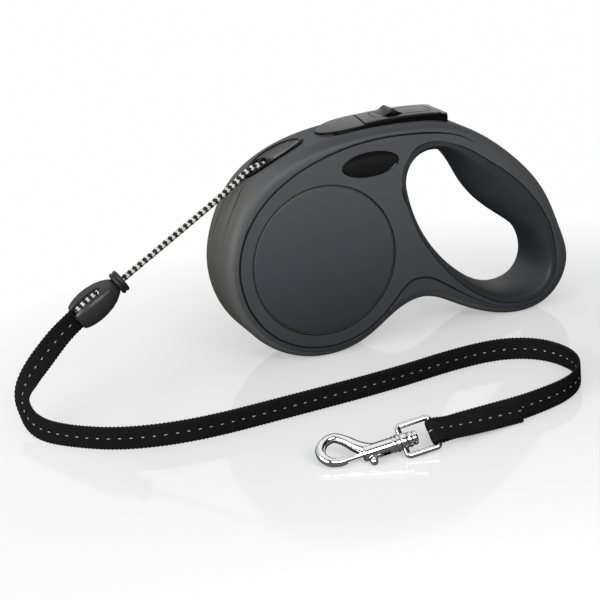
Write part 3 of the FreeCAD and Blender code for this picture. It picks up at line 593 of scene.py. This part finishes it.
def cap_point(along, angle, grow=0.0):
    """A point of the cap's skin. The angle is taken from the upper side, round over the front."""
    share = along / cap_length
    fat = np.interp(share, [0, 0.03, 0.08, 0.18, 0.32, 0.5, 0.66, 0.8, 0.9, 0.97, 1.0],
                    [0.42, 0.50, 0.60, 0.76, 0.90, 0.985, 1.0, 0.955, 0.885, 0.80, 0.74])
    wide, deep = cap_width / 2 * fat, cap_depth / 2 * fat
    power = 2.35
    radius = (abs(math.cos(angle) / wide) ** power + abs(math.sin(angle) / deep) ** power) ** (-1 / power)
    lean = math.cos(angle - bevel_turn)
    if lean > 0.05:
        flat = 0.83 * (wide * 0.62 + deep * 0.38) / lean
        radius = -math.log(math.exp(-radius * 2.6) + math.exp(-flat * 2.6)) / 2.6
    radius += grow
    return (across_cap * (radius * math.cos(angle)) + Vector((0, 1, 0)) * (radius * math.sin(angle))
            + cord_end * along)


def shaped_cap():
    around = 96
    rows = [(0.0, -1.6), (0.0, -0.5), (0.15, -0.1)]
    rows += [(along, 0.0) for along in np.linspace(0.6, cap_length - 0.7, 60)]
    rows += [(cap_length - 0.25, -0.1), (cap_length, -0.45), (cap_length - 0.1, -0.85),
             (cap_length - 0.8, -1.05), (cap_length - 2.6, -1.1), (cap_length - 2.6, -2.6)]
    points = []
    for along, grow in rows:
        for side in range(around):
            points.append(disc_middle + (cap_point(along, 2 * math.pi * side / around, grow)
                                         + cord_end * cap_start) / 1000)
    return points, tube_faces(len(rows), around, 0)


def tube_round(line, radii, around=12):
    """A closed tube along a line of points, with its own radius at each."""
    points = []
    way = unit(np.gradient(np.array(line), axis=0))
    side = Vector(way[0]).orthogonal()
    for centre, ahead, radius in zip(line, way, radii):
        ahead = Vector(ahead)
        side = (side - ahead * side.dot(ahead)).normalized()
        other = ahead.cross(side)
        for turn in range(around):
            angle = 2 * math.pi * turn / around
            points.append(Vector(centre) + (side * math.cos(angle) + other * math.sin(angle)) * radius)
    return points, tube_faces(len(line), around, 0)


def carved(piece, tools, name, cut_wall_finish=None):
    """Cuts tool shapes, given as points and faces, out of a piece, and shades its edges crisply."""
    mesh = bpy.data.meshes.new("cutters")
    points, faces = [], []
    for tool_points, tool_faces in tools:
        first = len(points)
        points += [tuple(point) for point in tool_points]
        faces += [tuple(first + corner for corner in face) for face in tool_faces]
    mesh.from_pydata(points, [], faces)
    # The cut walls take cut_wall_finish if one is given; the case halves pass painted shade for their
    # grooves.
    mesh.materials.append(cut_wall_finish or piece.data.materials[0])
    cutters = bpy.data.objects.new(name, mesh)
    scene.collection.objects.link(cutters)
    cut = piece.modifiers.new("carve", "BOOLEAN")
    cut.operation = "DIFFERENCE"
    cut.solver = "EXACT"
    cut.use_self = False
    cut.material_mode = "TRANSFER"
    cut.object = cutters
    bpy.context.view_layer.update()
    result = bpy.data.meshes.new_from_object(piece.evaluated_get(bpy.context.evaluated_depsgraph_get()))
    piece.modifiers.clear()
    bpy.data.objects.remove(cutters)
    piece.data = result
    result.shade_smooth()
    result.set_sharp_from_angle(angle=math.radians(34))
    normals = np.zeros(len(result.polygons) * 3, np.float32)
    result.polygons.foreach_get("normal", normals)
    result.polygons.foreach_set("use_smooth", np.abs(normals[1::3]) < 0.9995)
    even = piece.modifiers.new("even", "WEIGHTED_NORMAL")
    even.keep_sharp = True
    even.weight = 80
    bpy.context.view_layer.update()
    piece.data = bpy.data.meshes.new_from_object(piece.evaluated_get(bpy.context.evaluated_depsgraph_get()))
    piece.modifiers.clear()
    return piece


points, faces = shaped_cap()
cap_plastic = Finish("dark_cap_plastic", (0.05, 0.048, 0.05), 0.34, specular_ior_level=0.5)
cap_plastic.colours(cap_plastic.noise(0.004, 3), (0.3, (0.024, 0.023, 0.025)), (0.7, (0.031, 0.030, 0.032)))
cap_plastic.bump(cap_plastic.noise(0.0002, 3), 0.00001, 0.5)
cap = new_piece("connector_cap", points, faces, "case", cap_plastic.material)
slot_from, slot_to = 6.0, cap_length + 2
slot_line = []
for along in np.linspace(slot_from, slot_to, 24):
    spot = cap_point(min(along, cap_length), bevel_turn * 0.8)
    spot += cord_end * (along - min(along, cap_length))
    slot_line.append(disc_middle + (spot + cord_end * cap_start) / 1000)
slot_radii = [0.00175 * math.sqrt(min(1.0, (number + 0.4) / 3)) for number in range(24)]
points, faces = tube_round(slot_line, slot_radii, 20)
carved(cap, [(points, faces)], "slot")
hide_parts("cord_connector")

knot_line = np.array([
    tuple(spot + (disc_middle + cord_end * ((spot - disc_middle).dot(cord_end)) - spot).normalized() * 0.0010)
    for spot in slot_line[2:-2]])
knot_route = [Vector(knot) for knot in knot_line[::4]]
knot_run, knot_path = smooth_line(knot_route, 0.00025)
knot_way = unit(np.gradient(knot_path, axis=0))
knot_side = unit(np.cross(knot_way, np.tile((0.0, 1.0, 0.0), (len(knot_path), 1))))
points, faces, kinds, numbers = braid(knot_run, knot_path, knot_side, np.cross(knot_way, knot_side),
                                      0.0023, 0.0104)
cord_tail = new_piece("cord_in_slot", points, faces, "case", white_yarn, numbers=numbers)
cord_tail.data.materials.append(black_yarn)
cord_tail.data.polygons.foreach_set("material_index", kinds)


# ---- The two case halves --------------------------------------------------------------------------
# Injection-moulded halves with a soft matte touch, screwed together on the parting plane. A fine
# groove frames each side, and two creases run down the front from the cord outlet. The colour carries
# painted shade: the flat side is painted a little bluer and darker than the rim, the side darker towards
# its foot, and the rim darker over its top.
def solid_copy(node, name, body, material):
    """A copy of a CAD part's skin with its seams welded, ready to be carved or squashed."""
    form = bmesh.new()
    form.from_mesh(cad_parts[node].data)
    bmesh.ops.remove_doubles(form, verts=form.verts, dist=2e-6)
    mesh = bpy.data.meshes.new(name)
    form.to_mesh(mesh)
    form.free()
    mesh.materials.clear()
    mesh.materials.append(material)
    piece = bpy.data.objects.new(name, mesh)
    scene.collection.objects.link(piece)
    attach(piece, body)
    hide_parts(node)
    return piece


def skin_of(mesh):
    """The mesh as a tree that rays can be cast at."""
    return BVHTree.FromPolygons([vertex.co.copy() for vertex in mesh.vertices],
                                [tuple(face.vertices) for face in mesh.polygons])


half_case, cover_rim = 15.5, 32.0
case_plastic = Finish("soft_touch_plastic", (0.09, 0.09, 0.088), 0.42, specular_ior_level=0.18)
where = case_plastic.add("ShaderNodeSeparateXYZ", {}, {0: case_plastic.place()})
across_case, up_case = [Value(case_plastic, where.outputs[axis]) for axis in "YZ"]
# Painted shade: flat_side picks out the side for its darker, bluer tone, which darkens further towards the
# foot; the rim darkens over its top. The mottle is random tone.
flat_side = ((across_case.maths("ABSOLUTE") - 0.0146) * 2500).clipped()
mottle = case_plastic.noise(0.012, 3)
painted_shade_rim_top = (1 - flat_side) * ((up_case - 0.07) * 45).clipped()
case_plastic.colours(flat_side * (0.93 - (up_case * 14).clipped() * 0.45) + painted_shade_rim_top * 0.8 + mottle * 0.07,
                     (0.05, (0.094, 0.094, 0.089)), (0.5, (0.084, 0.085, 0.089)),
                     (0.96, (0.044, 0.045, 0.051)))
case_plastic.bump(case_plastic.noise(0.00022, 4, 0.6), 0.00002, 0.55)

# Painted shade: the walls of the grooves, of the creases and of the ring round the cover get a near-black
# finish.
painted_groove_shade = Finish("groove_shade", (0.012, 0.012, 0.013), 0.6, specular_ior_level=0.1)
painted_groove_shade.bump(painted_groove_shade.noise(0.0003, 3), 0.00002, 0.4)

panel_line = [(76.5, -35.6), (68.1, -30.7), (60.4, -25.4), (54.6, -21.3), (49.4, -17.9), (44.7, -16.4),
              (39.3, -16.7), (35.5, -19.1), (31.7, -22.8), (26.0, -28.4), (19.0, -33.2), (9.5, -36.8),
              (-1.0, -37.9), (-12.0, -35.9), (-21.7, -31.1), (-29.7, -23.5), (-35.3, -13.6), (-37.8, -2.5),
              (-37.2, 7.2), (-34.2, 16.2), (-29.2, 24.2), (-23.5, 30.2), (-17.2, 34.9), (-8.0, 39.9),
              (2.7, 43.7), (13.4, 46.2), (24.0, 47.4), (33.9, 47.6), (46.9, 46.7), (57.5, 45.0),
              (66.0, 42.3), (73.0, 38.0)]
seam_line = [(37.6, 25.0), (39.6, 16.0), (45.0, 1.3), (53.8, -12.5), (64.0, -24.0), (74.5, -31.8),
             (84.0, -36.0), (95.0, -37.2), (103.5, -34.2), (108.6, -27.0), (109.4, -17.0), (107.2, -5.0),
             (101.0, 7.0), (91.0, 18.9), (79.0, 28.9), (66.0, 37.6), (52.5, 41.9), (42.6, 38.6)]


def eased(points, closed_loop, each=10):
    """A finer row of points on a smooth curve that passes through the given ones."""
    count = len(points)
    fine = []
    for number in range(count if closed_loop else count - 1):
        before, start, end, after = [np.array(points[(number + step) % count] if closed_loop else
                                              points[min(max(number + step, 0), count - 1)])
                                     for step in (-1, 0, 1, 2)]
        for share in np.arange(each) / each:
            fine.append(0.5 * (2 * start + (end - before) * share
                               + (2 * before - 5 * start + 4 * end - after) * share ** 2
                               + (3 * start - before - 3 * end + after) * share ** 3))
    return fine if closed_loop else fine + [np.array(points[-1])]


def ring_tool(line, radius, around=10):
    """A tube whose two ends meet."""
    points, faces = tube_round(line, [radius] * len(line), around)
    faces = faces[:-2]
    return points, closed(faces, len(line), around)


for side, shell, name in ((-1, "left_shell", "left_half"), (1, "right_shell", "right_half")):
    half = solid_copy(shell, name, "case", case_plastic.material)
    skin = skin_of(half.data)

    def on_side(x, z):
        hit = skin.ray_cast(at(x, side * 30, z), Vector((0, -side, 0)))[0]
        return hit if hit is not None and abs(hit.y) > 0.0125 else at(x, side * half_case, z)

    groove = [on_side(x, z) for x, z in eased(panel_line, False, 8)]
    fading = np.minimum(1, np.minimum(np.arange(len(groove)), np.arange(len(groove))[::-1]) / 24 + 0.15)
    tools = [tube_round(groove, 0.00044 * fading, 10)]
    seam = [at(x, side * half_case, z) for x, z in eased(seam_line, True, 8)]
    tools.append(ring_tool(seam, 0.00042))
    rim = [at(cover_rim * math.cos(turn), side * half_case, cover_rim * math.sin(turn))
           for turn in [2 * math.pi * step / 180 for step in range(180)]]
    tools.append(ring_tool(rim, 0.0005))
    crease, crease_size = [], []
    for share in np.linspace(0, 1, 40):
        angle = math.radians(129 + 33 * share)
        across = side * (2.6 + 3.4 * math.sin(min(1, share * 2.4) * math.pi / 2))
        outward = Vector((math.cos(angle), 0, math.sin(angle)))
        hit = skin.ray_cast(at(0, across, 0) + outward * 0.06, -outward)[0]
        if hit is not None and (hit - at(0, across, 0)).length > 0.040:
            crease.append(hit)
            crease_size.append(0.00042 * (1 - share) * min(1, share * 5) + 0.00008)
    tools.append(tube_round(crease, crease_size, 10))
    carved(half, tools, "grooves_" + name, painted_groove_shade.material)


# ---- The round covers -----------------------------------------------------------------------------
# A thin disc is snapped into each side of the case over the reel. It is very slightly domed.
cover_plastic = Finish("fine_matte_plastic", (0.066, 0.067, 0.075), 0.43, specular_ior_level=0.42)
up = cover_plastic.add("ShaderNodeSeparateXYZ", {}, {0: cover_plastic.place()}).outputs["Z"]
# Painted shade: the disc's colour darkens towards its bottom; the cloudy part is random tone.
cover_plastic.colours((Value(cover_plastic, up) * 13).clipped() * 0.85 + cover_plastic.noise(0.03, 2) * 0.15,
                      (0.1, (0.024, 0.025, 0.031)), (0.6, (0.060, 0.061, 0.071)),
                      (0.95, (0.079, 0.080, 0.088)))
cover_plastic.bump(cover_plastic.noise(0.00018, 4, 0.6), 0.000016, 0.5)
for side, node, name in ((-1, "left_cover", "left_disc"), (1, "right_cover", "right_disc")):
    profile = [(0.02, 14.4), (31.5, 14.4), (31.6, 14.6)] + bead(31.2, 14.95, 0.4, 0, 90, 8)
    profile += [(radius, 15.35 + 0.13 * (1 - (radius / 31) ** 2)) for radius in np.linspace(30.6, 0.02, 24)]
    points, faces = turned(profile, drum, (0, side, 0), 180)
    cover = new_piece(name, points, closed(faces, len(profile), 180), "case",
                      cover_plastic.material)
    cover.data.set_sharp_from_angle(angle=math.radians(40))
    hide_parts(node)


# ---- The badges -----------------------------------------------------------------------------------
# A plain oval of polished black plastic with a fine raised rim is glued into each side, left bare.
polished = Finish("polished_black", (0.004, 0.004, 0.0042), 0.08, specular_ior_level=0.4)
polished.bump(polished.noise(0.004, 2), 0.00002, 0.3)
badge_x, badge_z, badge_long, badge_high = 23.5, 37.5, 13, 5.3
for side, node, name in ((-1, "left_badge", "left_oval"), (1, "right_badge", "right_oval")):
    points = []
    profile = [(0.004, 14.4), (0.985, 14.4), (0.995, 14.8), (0.993, 15.5), (0.975, 15.62), (0.955, 15.6),
               (0.935, 15.45), (0.915, 15.4), (0.88, 15.46), (0.8, 15.52), (0.6, 15.6), (0.4, 15.66),
               (0.2, 15.69), (0.004, 15.7)]
    for share, height in profile:
        for turn in range(120):
            angle = 2 * math.pi * turn / 120
            points.append(at(badge_x + badge_long * share * math.cos(angle), side * height,
                             badge_z + badge_high * share * math.sin(angle) * side * -1))
    oval = new_piece(name, points, tube_faces(len(profile), 120, 0), "case", polished.material)
    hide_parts(node)


# ---- The cord outlet ------------------------------------------------------------------------------
# A glossy black oval let into the rim. Its lower half is a raised eyelet that the cord runs through;
# above it the oval is a smooth shallow dish.
outlet_slope = math.radians(28)
outlet_way = Vector((math.cos(outlet_slope), 0, math.sin(outlet_slope)))
outlet_up = Vector((-math.sin(outlet_slope), 0, math.cos(outlet_slope)))
outlet_skin = skin_of(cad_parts["cord_outlet"].data)
half_long, half_wide = 14.5, 7.2
eyelet, eyelet_radius = -6.8, 4.2
lip_height, lip_share, dish_depth, dish_share = 0.45, 0.93, 1.9, 0.86
bead_height, hole_depth = 0.35, 5.2


def outlet_point(along, across, height):
    """A point in mm from the outlet's middle: along it, across it, and up from its plane."""
    return at(-13.5, 0, 44.2) + (outlet_way * along + Vector((0, 1, 0)) * across + outlet_up * height) / 1000


def outlet_top(along):
    """How high the rim stands over the outlet's own plane, that far along it."""
    edge = half_wide * lip_share * math.sqrt(max(0.0, 1 - (along / half_long) ** 2))
    start = outlet_point(along, edge, 12)
    hit = outlet_skin.ray_cast(start, -outlet_up)[0]
    return 12 - (start - hit).length * 1000 if hit is not None else None


heights = [(along, outlet_top(along)) for along in np.linspace(-14.0, 14.0, 57)]
heights = [(along, height) for along, height in heights if height is not None]


def rim_height(along):
    return np.interp(along, [spot for spot, height in heights], [height for spot, height in heights])


def outlet_height(along, across, share):
    """The outlet's top: its rim, a rounded lip, the dish inside it, and the eyelet with its bead and hole."""
    lip = lip_height * math.exp(-((share - lip_share) / 0.045) ** 2)
    dish = -dish_depth * (1 - min(1.0, share / dish_share) ** 3.2)
    from_eyelet = math.hypot(along - eyelet, across * 0.96)
    eyelet_bead = bead_height * math.exp(-((from_eyelet - eyelet_radius) / 0.85) ** 2)
    collar = 1 / (1 + math.exp((from_eyelet - eyelet_radius - 0.9) * 2.4))
    hole = -hole_depth / (1 + math.exp((from_eyelet - eyelet_radius + 1.35) * 2.8))
    return rim_height(along) + lip + dish * (1 - collar) + collar * 0.15 + eyelet_bead + hole


points, faces, shares = [], [], []
rings, around = 66, 168
for ring in range(rings):
    share = max(0.002, ring / (rings - 1))
    for turn in range(around):
        angle = 2 * math.pi * turn / around
        along, across = half_long * share * math.cos(angle), half_wide * share * math.sin(angle)
        height = outlet_height(along, across, share)
        in_eyelet = math.hypot(along - eyelet, across * 0.96) < eyelet_radius + 1.3
        shares.append(1.0 if in_eyelet or share > dish_share else 0.0)
        points.append(outlet_point(along, across, height))
for share, drop in ((1.0, -1.2), (0.97, -6.2), (0.002, -6.4)):
    for turn in range(around):
        angle = 2 * math.pi * turn / around
        along, across = half_long * share * math.cos(angle), half_wide * share * math.sin(angle)
        base = rim_height(along) if drop > -5 else 0.8
        shares.append(1.0)
        points.append(outlet_point(along, across, base + drop))
faces = closed(tube_faces(rings + 3, around, 0, closed_ends=False), rings + 3, around)
gloss_black = Finish("glossy_black_plastic", (0.004, 0.004, 0.004), 0.09, specular_ior_level=0.5)
gloss_black.bump(gloss_black.noise(0.003, 2), 0.00002, 0.3)
outlet_gloss = Finish("outlet_gloss", (0.005, 0.005, 0.005), 0.1, specular_ior_level=0.12)
edge_part = outlet_gloss.own("edge")
# Painted reflection: the dish is a lighter grey than the near-black rim and eyelet; its coat also gives it
# real reflections.
outlet_gloss.colours(edge_part, (0.1, (0.036, 0.036, 0.035)), (0.9, (0.0015, 0.0015, 0.0015)))
outlet_gloss.feed("Coat Weight", 1 - edge_part)
outlet_gloss.bump(outlet_gloss.noise(0.003, 2), 0.00002, 0.3)
outlet = new_piece("outlet_eyelet", points, faces, "case", outlet_gloss.material,
                   numbers={"edge": shares})
outlet.data.set_sharp_from_angle(angle=math.radians(60))
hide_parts("cord_outlet")


# ---- The grip liner -------------------------------------------------------------------------------
# A softer dark elastomer lines the hand opening, swelling to a smooth crest in the middle.
def dress(node, finish):
    """Gives a CAD part its finish."""
    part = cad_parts[node]
    part.data.materials.clear()
    part.data.materials.append(finish.material)
    return part


grip_rubber = Finish("soft_grip", (0.05, 0.051, 0.055), 0.5, specular_ior_level=0.4)
grip_rubber.colours(grip_rubber.noise(0.01, 3), (0.3, (0.026, 0.027, 0.030)), (0.7, (0.034, 0.035, 0.038)))
grip_rubber.bump(grip_rubber.noise(0.0002, 4, 0.6), 0.00002, 0.5)
dress("handle_grip", grip_rubber)


# ---- The brake ------------------------------------------------------------------------------------
# A polished bezel in the top of the case has a pocket in which the thumb button sinks; a small ridge on
# the button slides forward to lock the brake. The walls of both carry painted shade: a darker, less
# reflective copy of the black of their tops.
def crown_height(x):
    """The brake's top line, a long shallow arc over the rim."""
    return np.interp(x, [6.8, 12, 18, 24, 33, 42, 52, 58, 63.4],
                     [51.1, 52.2, 52.95, 53.35, 53.7, 53.8, 53.3, 52.75, 51.9])


def hood(stations, low, edge_radius, bow, drop, seam=0.0):
    """A long cap facing outwards. Stations are (x, half width); its top is the brake's line less a drop."""
    points = []
    for x, half in stations:
        high = crown_height(x) - drop
        edge = min(edge_radius, half * 0.9)
        ring = [(-half, low)]
        for step in range(9):
            angle = math.radians(180 - 90 * step / 8)
            ring.append((-half + edge + edge * math.cos(angle), high - edge + edge * math.sin(angle)))
        ring += [(across, high) for across in np.linspace(-half + edge, half - edge, 15)[1:-1]]
        ring += [(-across, height) for across, height in ring[9::-1]]
        for across, height in ring:
            sag = bow * (across / 10) ** 2 if height > low else 0
            points.append(at(x + seam * across, across, height - sag))
    around = len(points) // len(stations)
    return points, [face[::-1] for face in tube_faces(len(stations), around, 0)]


bezel_half, bezel_foot = 10.6, 46.4
pocket_half, pocket_floor = 9.95, 47.6
button_half, button_foot = 9.6, 50.4
plan_slant = 0.16
bezel_rows = []
for x in [6.75, 6.9, 7.2, 7.7, 8.4, 9.4, 10.8, 12.5, 14.5, 17, 20, 24, 30, 40, 50,
          58, 61, 62, 62.6, 63.0, 63.2]:
    nose_part = bezel_half * (1 - max(0.0, (22.0 - x) / 15.3) ** 2.3) ** 0.5
    tail_part = bezel_half - 1.6 * (1 - math.sqrt(max(0.0, 1 - max(0.0, (x - 61.2) / 2.05) ** 2)))
    bezel_rows.append((x, min(nose_part, tail_part)))
points, faces = hood(bezel_rows, bezel_foot, 1.3, 0.2, 0.1)
bezel = new_piece("brake_surround", points, faces, "case", gloss_black.material)
bezel.data.set_sharp_from_angle(angle=math.radians(50))
pocket_points, pocket_faces = hood([(26.2, pocket_half), (61.9, pocket_half)], pocket_floor, 0.3, 0.0, -6.0,
                                   plan_slant)
carved(bezel, [(pocket_points, pocket_faces)], "pocket")
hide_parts("brake_bezel")
# Painted shade for the walls: a darker, less reflective copy of the glossy black.
wall_painted_shade = Finish("brake_wall_painted_shade", (0.003, 0.003, 0.003), 0.25, specular_ior_level=0.06)
wall_painted_shade.bump(wall_painted_shade.noise(0.003, 2), 0.00002, 0.3)


def darken_walls(piece):
    """Gives the walls and the lower part of the rounded edges painted shade: a darker, less reflective copy
    of the black.
    """
    piece.data.materials.append(wall_painted_shade.material)
    for face in piece.data.polygons:
        if face.normal.z < 0.8:
            face.material_index = len(piece.data.materials) - 1


darken_walls(bezel)

button_rows = [(26.6, 9.1), (26.7, 9.4), (27.0, button_half)]
button_rows += [(x, button_half) for x in np.linspace(29, 59.5, 20)]
button_rows += [(60.6, 9.55), (61.2, 9.3), (61.5, 8.9)]
points, faces = hood(button_rows, button_foot, 1.6, 0.3, -0.25, plan_slant)
thumb_plate = new_piece("thumb_plate", points, faces, "button", gloss_black.material)
track = [at(x, y, crown_height(x) + 0.26 - 0.45 * (y / 10) ** 2) for x, y in eased(
    [(34.0, -5.2), (45.0, -5.4), (55.5, -5.4), (58.3, -3.2), (58.8, 0), (58.3, 3.2), (55.5, 5.4), (45.0, 5.4),
     (34.0, 5.2), (32.0, 0)], True, 10)]
carved(thumb_plate, [ring_tool(track, 0.0003)], "track")
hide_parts("brake_button")
darken_walls(thumb_plate)

ridge_rows = [(35.6, 0.1), (37.4, 1.0), (39.2, 2.1), (40.0, 2.35), (40.8, 2.1), (42.6, 1.0), (44.4, 0.1)]
points = []
for x, rise in ridge_rows:
    for across, height in ((-5.0, -1.0), (-5.0, rise * 0.75), (-4.4, rise), (4.4, rise),
                           (5.0, rise * 0.75), (5.0, -1.0)):
        points.append(at(x, across, crown_height(x) + 0.2 + height))
ridge = new_piece("lock_ridge", points, tube_faces(len(ridge_rows), 6, 0), "lock",
                  gloss_black.material)
ridge.data.set_sharp_from_angle(angle=math.radians(24))
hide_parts("lock_slider")


# ---- The bolt snap --------------------------------------------------------------------------------
# Chromed zinc: a swivel frame, a hook with a sliding bolt, and the bolt's thumb knob.
chrome = Finish("bright_chrome", (0.78, 0.78, 0.79), 0.07, metallic=1.0)
chrome.feed("Roughness", chrome.noise(0.0015, 3) * 0.08 + 0.045)
chrome.bump(chrome.noise(0.002, 2), 0.00002, 0.2)
for node in ("hook_frame", "hook_bolt"):
    dress(node, chrome)

swivel_spot = at(*swivel)
hook_up = leaning(62)
arm_line = [swivel_spot + (hook_way * along + hook_up * up) / 1000 for along, up in eased(
    [(9.0, 0.3), (13.0, 1.2), (16.4, 4.2), (19.4, 8.2), (22.8, 11.0), (26.6, 10.4), (29.3, 7.7), (29.7, 4.4),
     (27.8, 1.3), (24.6, 0.0), (22.1, 0.0)], False, 10)]
arm_radii = np.interp(np.linspace(0, 10, len(arm_line)), [0, 1, 2, 3, 4, 5, 6, 8, 10],
                      np.array([2.3, 2.6, 2.35, 2.0, 1.8, 1.8, 1.9, 1.7, 1.5]) / 1000)
arm_points, arm_faces = tube_round(arm_line, arm_radii, 32)
barrel = [(0.3, -5.6), (1.9, -5.6), (2.5, -5.35), (2.65, -4.9), (2.65, -4.3), (2.1, -4.0), (2.1, -3.7),
          (2.7, -3.4), (2.85, -3.0), (2.85, -2.3), (2.5, -1.9), (1.2, -1.85), (1.2, 1.4), (3.0, 1.45),
          (3.3, 1.7), (3.3, 2.3), (3.0, 2.6), (2.6, 2.75), (2.6, 3.0), (3.0, 3.15), (3.1, 3.4), (3.1, 3.9),
          (2.7, 4.2), (2.7, 4.4), (2.9, 4.7), (2.9, 14.4), (2.75, 15.1), (2.4, 15.5), (0.9, 15.5),
          (0.9, 5.0), (0.3, 5.0)]
barrel_points, barrel_faces = turned(barrel, swivel_spot, hook_way, 64, hook_up)
barrel_faces = closed(barrel_faces, len(barrel), 64)
hook_casting = new_piece("hook_barrel", barrel_points, barrel_faces, "hook", chrome.material)
slot_corners = [swivel_spot + (hook_way * along + hook_up * up + hook_way.cross(hook_up) * side) / 1000
                for along in (5.85, 13.85) for up in (-5.0, 0.0) for side in (-0.95, 0.95)]
carved(hook_casting, [(slot_corners, [(0, 1, 3, 2), (4, 6, 7, 5), (0, 4, 5, 1), (2, 3, 7, 6), (0, 2, 6, 4),
                                      (1, 5, 7, 3)])], "bolt_slot")
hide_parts("hook_body")
hook_eye = new_piece("hook_eye", arm_points, arm_faces, "hook", chrome.material)
hub = [(1.5, -1.8), (2.6, -1.7), (3.0, -1.3), (3.1, -0.6), (3.1, 0.5), (2.9, 1.0), (2.4, 1.25), (1.5, 1.3)]
points, faces = turned(hub, swivel_spot, hook_way, 48)
frame_hub = new_piece("frame_hub", points, closed(faces, len(hub), 48), "frame", chrome.material)
plated = Finish("zinc_plate", (0.5, 0.5, 0.51), 0.32, metallic=1.0)
plated.feed("Roughness", plated.noise(0.001, 3) * 0.2 + 0.22)
bolt_coil = solid_copy("bolt_spring", "bolt_coil", "hook", plated.material)
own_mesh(bolt_coil)


# ---- The screws, the reel and the springs ---------------------------------------------------------
# Zinc-plated screws, pins and springs, and a reel of unpainted moulded plastic, all inside the case.
for node in ("case_screws", "pawl_pin", "reel_axle", "power_spring"):
    dress(node, plated)
button_coil = solid_copy("button_spring", "button_coil", "case", plated.material)
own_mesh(button_coil)
moulded = Finish("moulded_nylon", (0.42, 0.42, 0.4), 0.45)
moulded.colours(moulded.noise(0.008, 3), (0.3, (0.38, 0.38, 0.36)), (0.7, (0.45, 0.45, 0.43)))
moulded.bump(moulded.noise(0.0003, 3), 0.00002, 0.4)
for node in ("reel", "spring_case", "spring_cover", "brake_pawl", "axle_washers"):
    dress(node, moulded)
layers = Finish("wound_cord_layers", (0.3, 0.3, 0.3), 0.6)
coils = layers.add("ShaderNodeSeparateXYZ", {}, {0: layers.place()}).outputs["Y"]
wraps = (Value(layers, coils) * (2 * math.pi * 1000 / cord_size)).sine() * 0.5 + 0.5
# Painted shade: the wound cord darkens between its coils, where the bump sinks; the cloudy part is random
# tone.
layers.colours(wraps * 0.5 + layers.noise(0.0015, 2) * 0.5, (0.35, (0.01, 0.01, 0.01)),
               (0.6, (0.6, 0.6, 0.58)))
layers.bump(wraps, 0.0004)
dress("wound_cord", layers)
